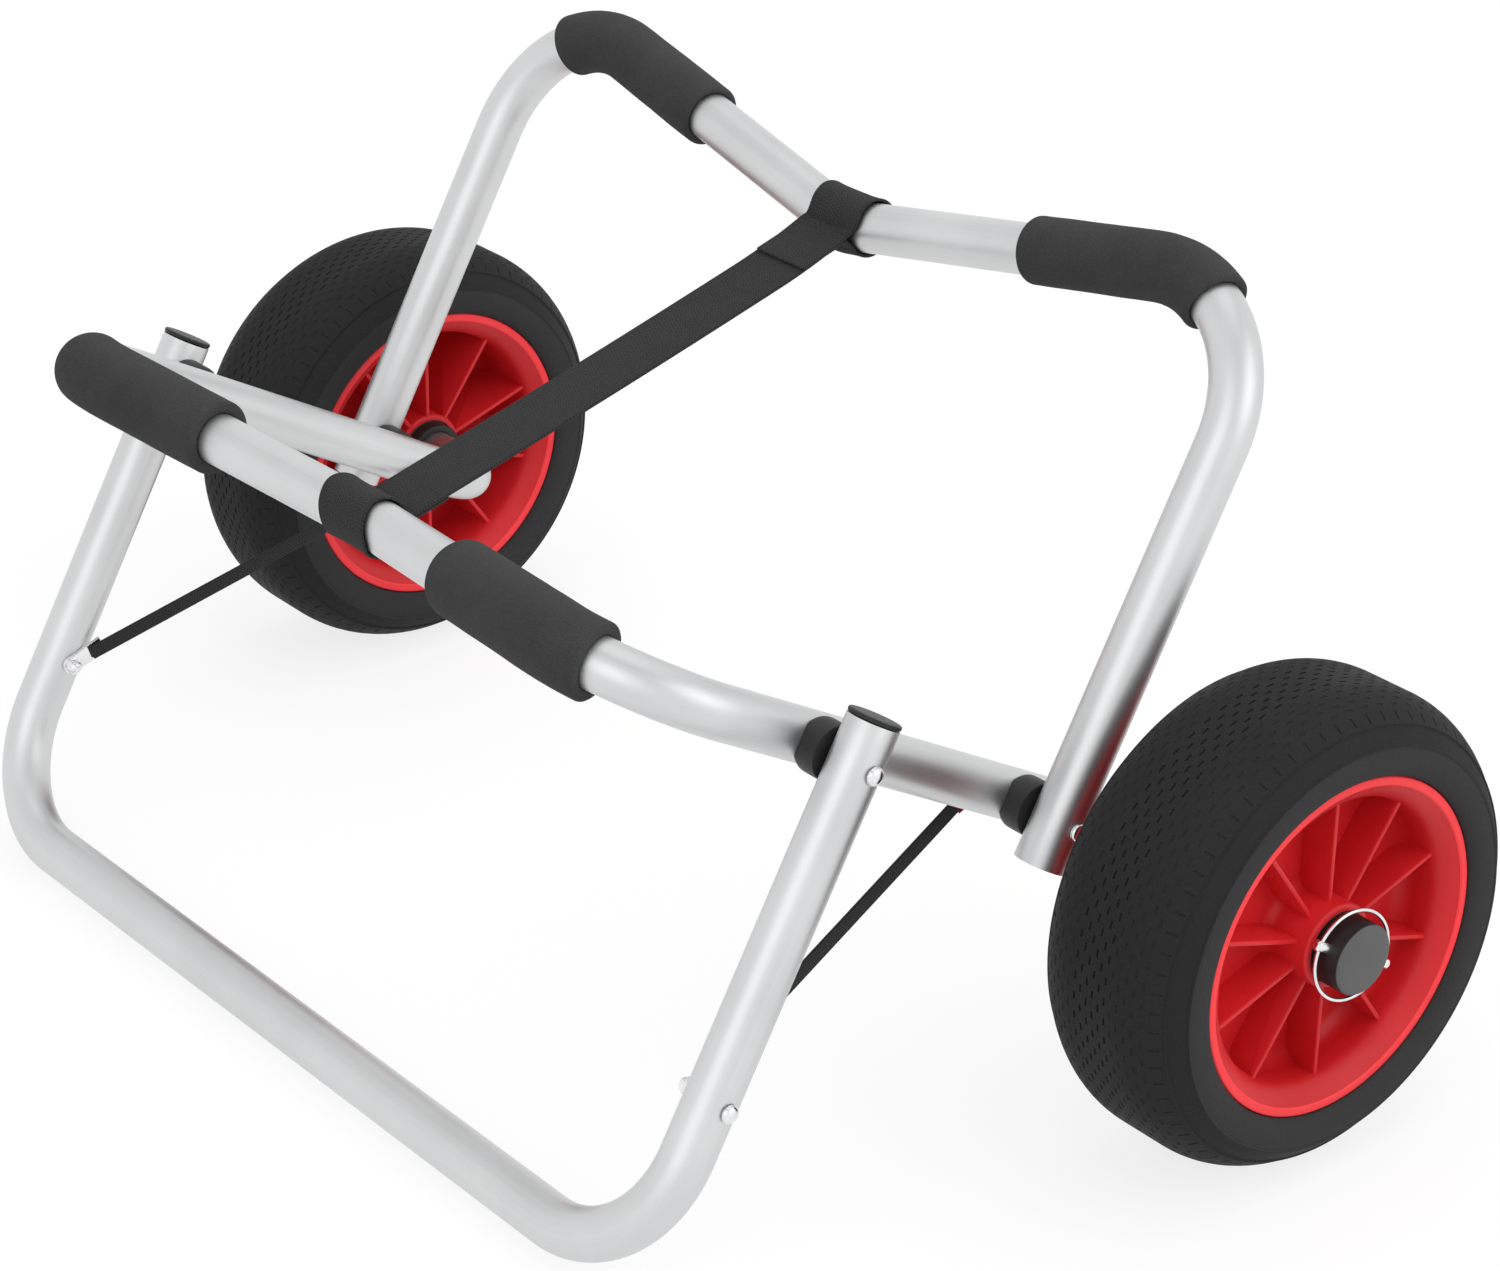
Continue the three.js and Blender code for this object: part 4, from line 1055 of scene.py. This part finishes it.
def bandHeight(span, place):
    share = min(max((place - strap["join"]) / (span - 2 * strap["join"]), 0), 1)
    low, high = strap["bandHeights"]
    last = max(0, (share - strap["rearStart"]) / (1 - strap["rearStart"])) ** 2 * strap["rearLift"]
    return low + (high - low) * share + last - strap["sag"] * math.sin(math.pi * share)


def strapPath(span):  # rows of the strap from its side: along, height, loop share, turn, loop
    radius = tubeRadius + seatGap + strap["thickness"] * strap["seat"]
    tangent = math.acos(radius / strap["join"])

    def flank(end, height, sign):  # from the join to the tube, over the top or underneath
        for step in range(strap["flankRows"]):
            share = step / strap["flankRows"]
            reach = strap["join"] + (radius * math.cos(tangent) - strap["join"]) * share
            lift = height + (sign * radius * math.sin(tangent) - height) * share
            turn = math.degrees(tangent) * share
            rise = share * share * (3 - 2 * share)
            yield abs(end - reach), lift, rise, turn if sign > 0 else 360 - turn, end

    def loop(end, begin, way):
        for step in range(strap["loopRows"] + 1):
            angle = begin - (2 * math.pi - 2 * tangent) * step / strap["loopRows"]
            turn = (math.degrees(angle) if way > 0 else 180 - math.degrees(angle)) % 360
            yield end + radius * math.cos(angle), radius * math.sin(angle), 1, turn, end

    def tail(end):
        low = bandHeight(span, abs(end - strap["join"])) - strap["thickness"]
        far = strap["tails"][end > 0]
        for step in range(strap["tailRows"]):
            reach = far + (strap["join"] - far) * step / strap["tailRows"]
            yield abs(end - reach), low, 0, 360, end

    lower = [bandHeight(span, abs(end - strap["join"])) - strap["thickness"] for end in (0, span)]
    band = []
    for step in range(1, strap["bandRows"]):
        place = strap["join"] + (span - 2 * strap["join"]) * step / strap["bandRows"]
        band.append((place, bandHeight(span, place), 0, 0, 0))
    return [*tail(0), *flank(0, lower[0], -1), *loop(0, -tangent, 1),
            *reversed([*flank(0, bandHeight(span, 0), 1)]), *band,
            *flank(span, bandHeight(span, span), 1), *loop(span, math.pi - tangent, -1),
            *reversed([*flank(span, lower[1], -1)]), *reversed([*tail(span)])]


def makeSaddleStrap():
    front = frontPlane @ alongRoute(frontRoute, routeLength(frontRoute) / 2)[0]
    rear = rearPlane @ alongRoute(rearRoute, routeLength(rearRoute) / 2)[0]
    run = rear - front
    along = run.normalized()
    upward = Vector((0, -along.z, along.y))
    rows = strapPath(run.length)
    piece = addShape("saddleStrap", bpy.ops.mesh.primitive_grid_add, size=1,
                     x_subdivisions=strap["columns"], y_subdivisions=len(rows) - 1)
    lengths = [0]
    for one, two in zip(rows, rows[1:]):
        lengths.append(lengths[-1] + math.hypot(two[0] - one[0], two[1] - one[1]))
    marks = piece.data.attributes.new("unbent", "FLOAT_VECTOR", "POINT")
    for vertex, mark in zip(piece.data.vertices, marks.data):
        index = round((vertex.co.y + 0.5) * (len(rows) - 1))
        place, height, loop, turn, end = rows[index]
        share = vertex.co.x + 0.5
        far = 1 if end else 0
        left, right, lift = edgesAt(strap["rearLoop"] if far else strap["frontLoop"], turn)
        across = left + (right - left) * share
        flat = vertex.co.x * 2 * strap["halfWidth"]
        tailShare = (abs(end - place) - strap["join"]) / (strap["tails"][far] - strap["join"])
        if turn == 360 and tailShare > 0:
            across += strap["tailShifts"][far] * tailShare
        spoke = along * (place - end) + upward * height
        if loop:
            route, plane = (rearRoute, rearPlane) if far else (frontRoute, frontPlane)
            leftRise, rightRise = dipRise(route, left), dipRise(route, right)
            loose = dipRise(route, across) * strap["slack"]
            bridged = 0.5 + 0.5 * math.cos(math.radians(turn - 135))    # it spans the dip's inside
            rise = loose + (leftRise + (rightRise - leftRise) * share - loose) * bridged
            edge = abs(vertex.co.x * 2) ** 4 * loop
            spoke += spoke.normalized() * (strap["edgeLift"] + (lift if share > 0.5 else 0)) * edge
            spoke += (plane.to_3x3() @ Vector((0, 1, 0))) * rise * loop
        vertex.co = front + along * end + spoke + Vector((across, 0, 0))
        mark.vector = (flat, 0, lengths[index])
    applyModifier(piece, "SOLIDIFY", thickness=strap["thickness"] * strap["solid"], offset=0)
    roundEdges(piece, strap["rounding"], segments=2, degrees=60)
    applyModifier(piece, "SUBSURF", levels=1, render_levels=1)
    smoothEdges(piece, 60)
    dress(piece, "webbing", ["saddle_strap"])
    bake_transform(piece)
    for name, start, way, body in (("frontStitches", 0, 1, "front_frame"),
                                   ("rearStitches", run.length, -1, "rear_frame")):
        makeStitches(name, [
            (front + along * place + upward * height + Vector((across, 0, 0)), turned)
            for across, place, height, turned in stitchPlaces(run.length, start, way)
        ], along, upward, body)


def stitchPlaces(span, start, way):  # a sewn box between the join and the tail's end
    half = strap["halfWidth"] - stitch["inset"]
    near = strap["join"] + stitch["inset"]
    far = strap["tails"][way < 0] - stitch["inset"]
    count = round(2 * half / stitch["pitch"])
    marks = [(half * (2 * index + 1 - count) / count, reach, True)
             for reach in (near, far) for index in range(count)]
    marks += [(across, near + (far - near) * (index + 0.5) / stitch["columns"], False)
              for index in range(stitch["columns"]) for across in (-half, half)]
    top = strap["thickness"] * stitch["height"]
    return [(across, start + way * reach, bandHeight(span, start + way * reach) + top, turned)
            for across, reach, turned in marks]


def makeStitches(name, places, along, upward, body):
    first = addShape(name, bpy.ops.mesh.primitive_uv_sphere_add, segments=10, ring_count=6,
                     radius=0.5)
    first.scale = (stitch["length"], stitch["width"], stitch["width"])
    settle(first)
    copies = []
    for index, (place, turned) in enumerate(places):
        side = Vector((1, 0, 0)) if turned else along
        basis = Matrix((side, upward.cross(side), upward)).transposed().to_4x4()
        copies.append(copyPiece(first, f"{name}{index}"))
        layIn(copies[-1], Matrix.Translation(place) @ basis)
    bpy.data.objects.remove(first)
    takeUp(copies[0])
    for twin in copies:
        twin.select_set(True)
    bpy.ops.object.join()
    piece = namePiece(name)
    markPoints(piece, lambda point: point)
    smoothEdges(piece, 60)
    dress(piece, "webbing", [], body)


makeSaddleStrap()
print("wide strap made")

# Thin straps from the kickstand's lower bolts to the rear frame's pivots, and their tabs
kickStrap = {
    "width": 0.008, "thickness": 0.0016, "rounding": 0.0004, "tabWidth": 0.010,
    "tabThickness": 0.0016, "tabReach": 0.0200, "tabRounding": 0.0003, "start": 0.0123,
    "rows": 60,
    "blendInset": 0.08,             # a share of the strap at each end
}


def makeTab(name, node, place, toward, body):  # a plate with a round end at the bolt
    half = kickStrap["tabWidth"] / 2
    piece = addShape(name, bpy.ops.mesh.primitive_circle_add, vertices=40, radius=half,
                     fill_type="NGON", rotation=(0, math.pi / 2, 0))
    for vertex in piece.data.vertices:
        if vertex.co.y > 0.0001:
            vertex.co.y = kickStrap["tabReach"]
            if abs(vertex.co.z) > half * 0.9:
                vertex.co.z = math.copysign(half, vertex.co.z)
    enterEdit(piece)
    pull((-kickStrap["tabThickness"], 0, 0))
    closeShape()
    roundEdges(piece, kickStrap["tabRounding"], segments=2, degrees=50)
    run = toward - place
    seat = Matrix.Translation((rightBox(node)[1].x, place.y, place.z))
    placePair(piece, seat @ Matrix.Rotation(math.atan2(run.z, run.y), 4, "X"),
              "chrome_hardware", node, body)


def makeKickStraps():
    low, high = besideMiddle(middleOf("kick_strap_nut")), besideMiddle(rearPivot)
    makeTab("lowerTabRight", "lower_strap_tab", low, high, "kickstand")
    makeTab("upperTabRight", "upper_strap_tab", high, low, "front_frame")
    along = (high - low).normalized()
    offset = kickStrap["tabThickness"] + kickStrap["thickness"] / 2
    start, end = low + along * kickStrap["start"], high - along * kickStrap["start"]
    start.x = rightBox("lower_strap_tab")[1].x - offset
    end.x = rightBox("upper_strap_tab")[1].x - offset
    run = end - start
    piece = addShape("kickStrapRight", bpy.ops.mesh.primitive_plane_add, size=1)
    piece.scale = (kickStrap["thickness"], kickStrap["width"], 1)
    settle(piece)
    enterEdit(piece)
    for step in range(kickStrap["rows"]):
        pull((0, 0, run.length / kickStrap["rows"]))
    closeShape()
    roundEdges(piece, kickStrap["rounding"], segments=2)
    markPoints(piece, lambda point: (point.y, point.x, point.z))
    forward = run.normalized()
    widthways = forward.cross(Vector((1, 0, 0))).normalized()
    basis = Matrix((widthways.cross(forward), widthways, forward)).transposed().to_4x4()
    layIn(piece, Matrix.Translation(start) @ basis)
    smoothEdges(piece)
    for half, side, sign in ((piece, "right", 1), (mirrorPiece(piece), "left", -1)):
        dress(half, "webbing", ["kick_strap_" + side])
        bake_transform(half)


makeKickStraps()
print("thin straps made")

# Floor, background and soft studio light
studio = {
    "floorSize": 16, "floorDrop": 0.0004, "floorBase": 0.62, "floorShade": 0.24,
    "floorGlow": 0.79, "skyToward": (0.75, 0.30, 0.60), "skyStart": -0.5,
    "skyLevels": (0.30, 1.16),      # away from that direction and towards it
    "backdropRise": (0.30, 0.95),   # where, by height, the white backdrop greys overhead
    "backdropLevels": (1.0, 0.78), "lightSize": 2.4,
    "lights": {
        "keyBox": ((2.8, 1.2, 1.8), 16),
        "frontBox": ((1.0, -2.6, 1.7), 13),
        "topBox": ((-0.4, 0.6, 3.0), 8),
    },
}


def showApart(tree, output, lighting, shown):  # what lights the cart, and what is seen instead
    rays = addNode(tree, "LightPath").outputs
    either = doMath(tree, "MAXIMUM", rays["Is Camera Ray"], rays["Is Glossy Ray"])
    seen = doMath(tree, "MAXIMUM", either, rays["Is Transmission Ray"])
    choice = addNode(tree, "MixShader")
    plugAll(choice, {0: seen, 1: lighting, 2: shown})
    plug(tree.nodes[output].inputs["Surface"], choice.outputs["Shader"])


def makeFloor():
    floor = addShape("studioFloor", bpy.ops.mesh.primitive_plane_add, size=studio["floorSize"],
                     location=(0, 0, -studio["floorDrop"]))
    material, tree, shader = newMaterial("paleFloor")
    plugAll(shader, {"Roughness": 0.9, "Specular IOR Level": 0.0,
                     "Base Color": (studio["floorBase"],) * 3 + (1,)})
    glow = addNode(tree, "Emission", Strength=studio["floorGlow"])
    shade = addNode(tree, "BsdfDiffuse", Color=(studio["floorShade"],) * 3 + (1,))
    shown = addNode(tree, "AddShader")
    plugAll(shown, {0: glow.outputs["Emission"], 1: shade.outputs["BSDF"]})
    showApart(tree, "Material Output", shader.outputs["BSDF"], shown.outputs["Shader"])
    floor.data.materials.append(material)


def makeWorld():
    world = bpy.data.worlds.new("softStudio")
    bpy.context.scene.world = world
    world.use_nodes = True
    tree = world.node_tree
    sky = tree.nodes["Background"]
    direction = addNode(tree, "TexCoord").outputs["Generated"]
    facing = addNode(tree, "VectorMath", operation="DOT_PRODUCT")
    plugAll(facing, {0: direction, 1: Vector(studio["skyToward"]).normalized()})
    low, high = studio["skyLevels"]
    level = addNode(tree, "MapRange", From_Min=studio["skyStart"], To_Min=low, To_Max=high,
                    Value=facing.outputs["Value"])
    plug(sky.inputs["Color"], level.outputs["Result"])
    height = addNode(tree, "SeparateXYZ", Vector=direction).outputs["Z"]
    low, high = studio["backdropRise"]
    white, overhead = studio["backdropLevels"]
    grey = addNode(tree, "MapRange", interpolation_type="SMOOTHSTEP", From_Min=low,
                   From_Max=high, To_Min=white, To_Max=overhead, Value=height)
    backdrop = addNode(tree, "Background", Color=grey.outputs["Result"])
    showApart(tree, "World Output", sky.outputs["Background"], backdrop.outputs["Background"])


def makeLights():
    for name, (place, power) in studio["lights"].items():
        bpy.ops.object.light_add(type="AREA", location=place)
        light = bpy.context.object
        light.name = name
        light.data.size = studio["lightSize"]
        light.data.energy = power
        light.rotation_euler = (-Vector(place)).to_track_quat("-Z", "Y").to_euler()


makeFloor()
makeWorld()
makeLights()
bpy.context.scene.view_settings.view_transform = "Standard"
print("studio lit")
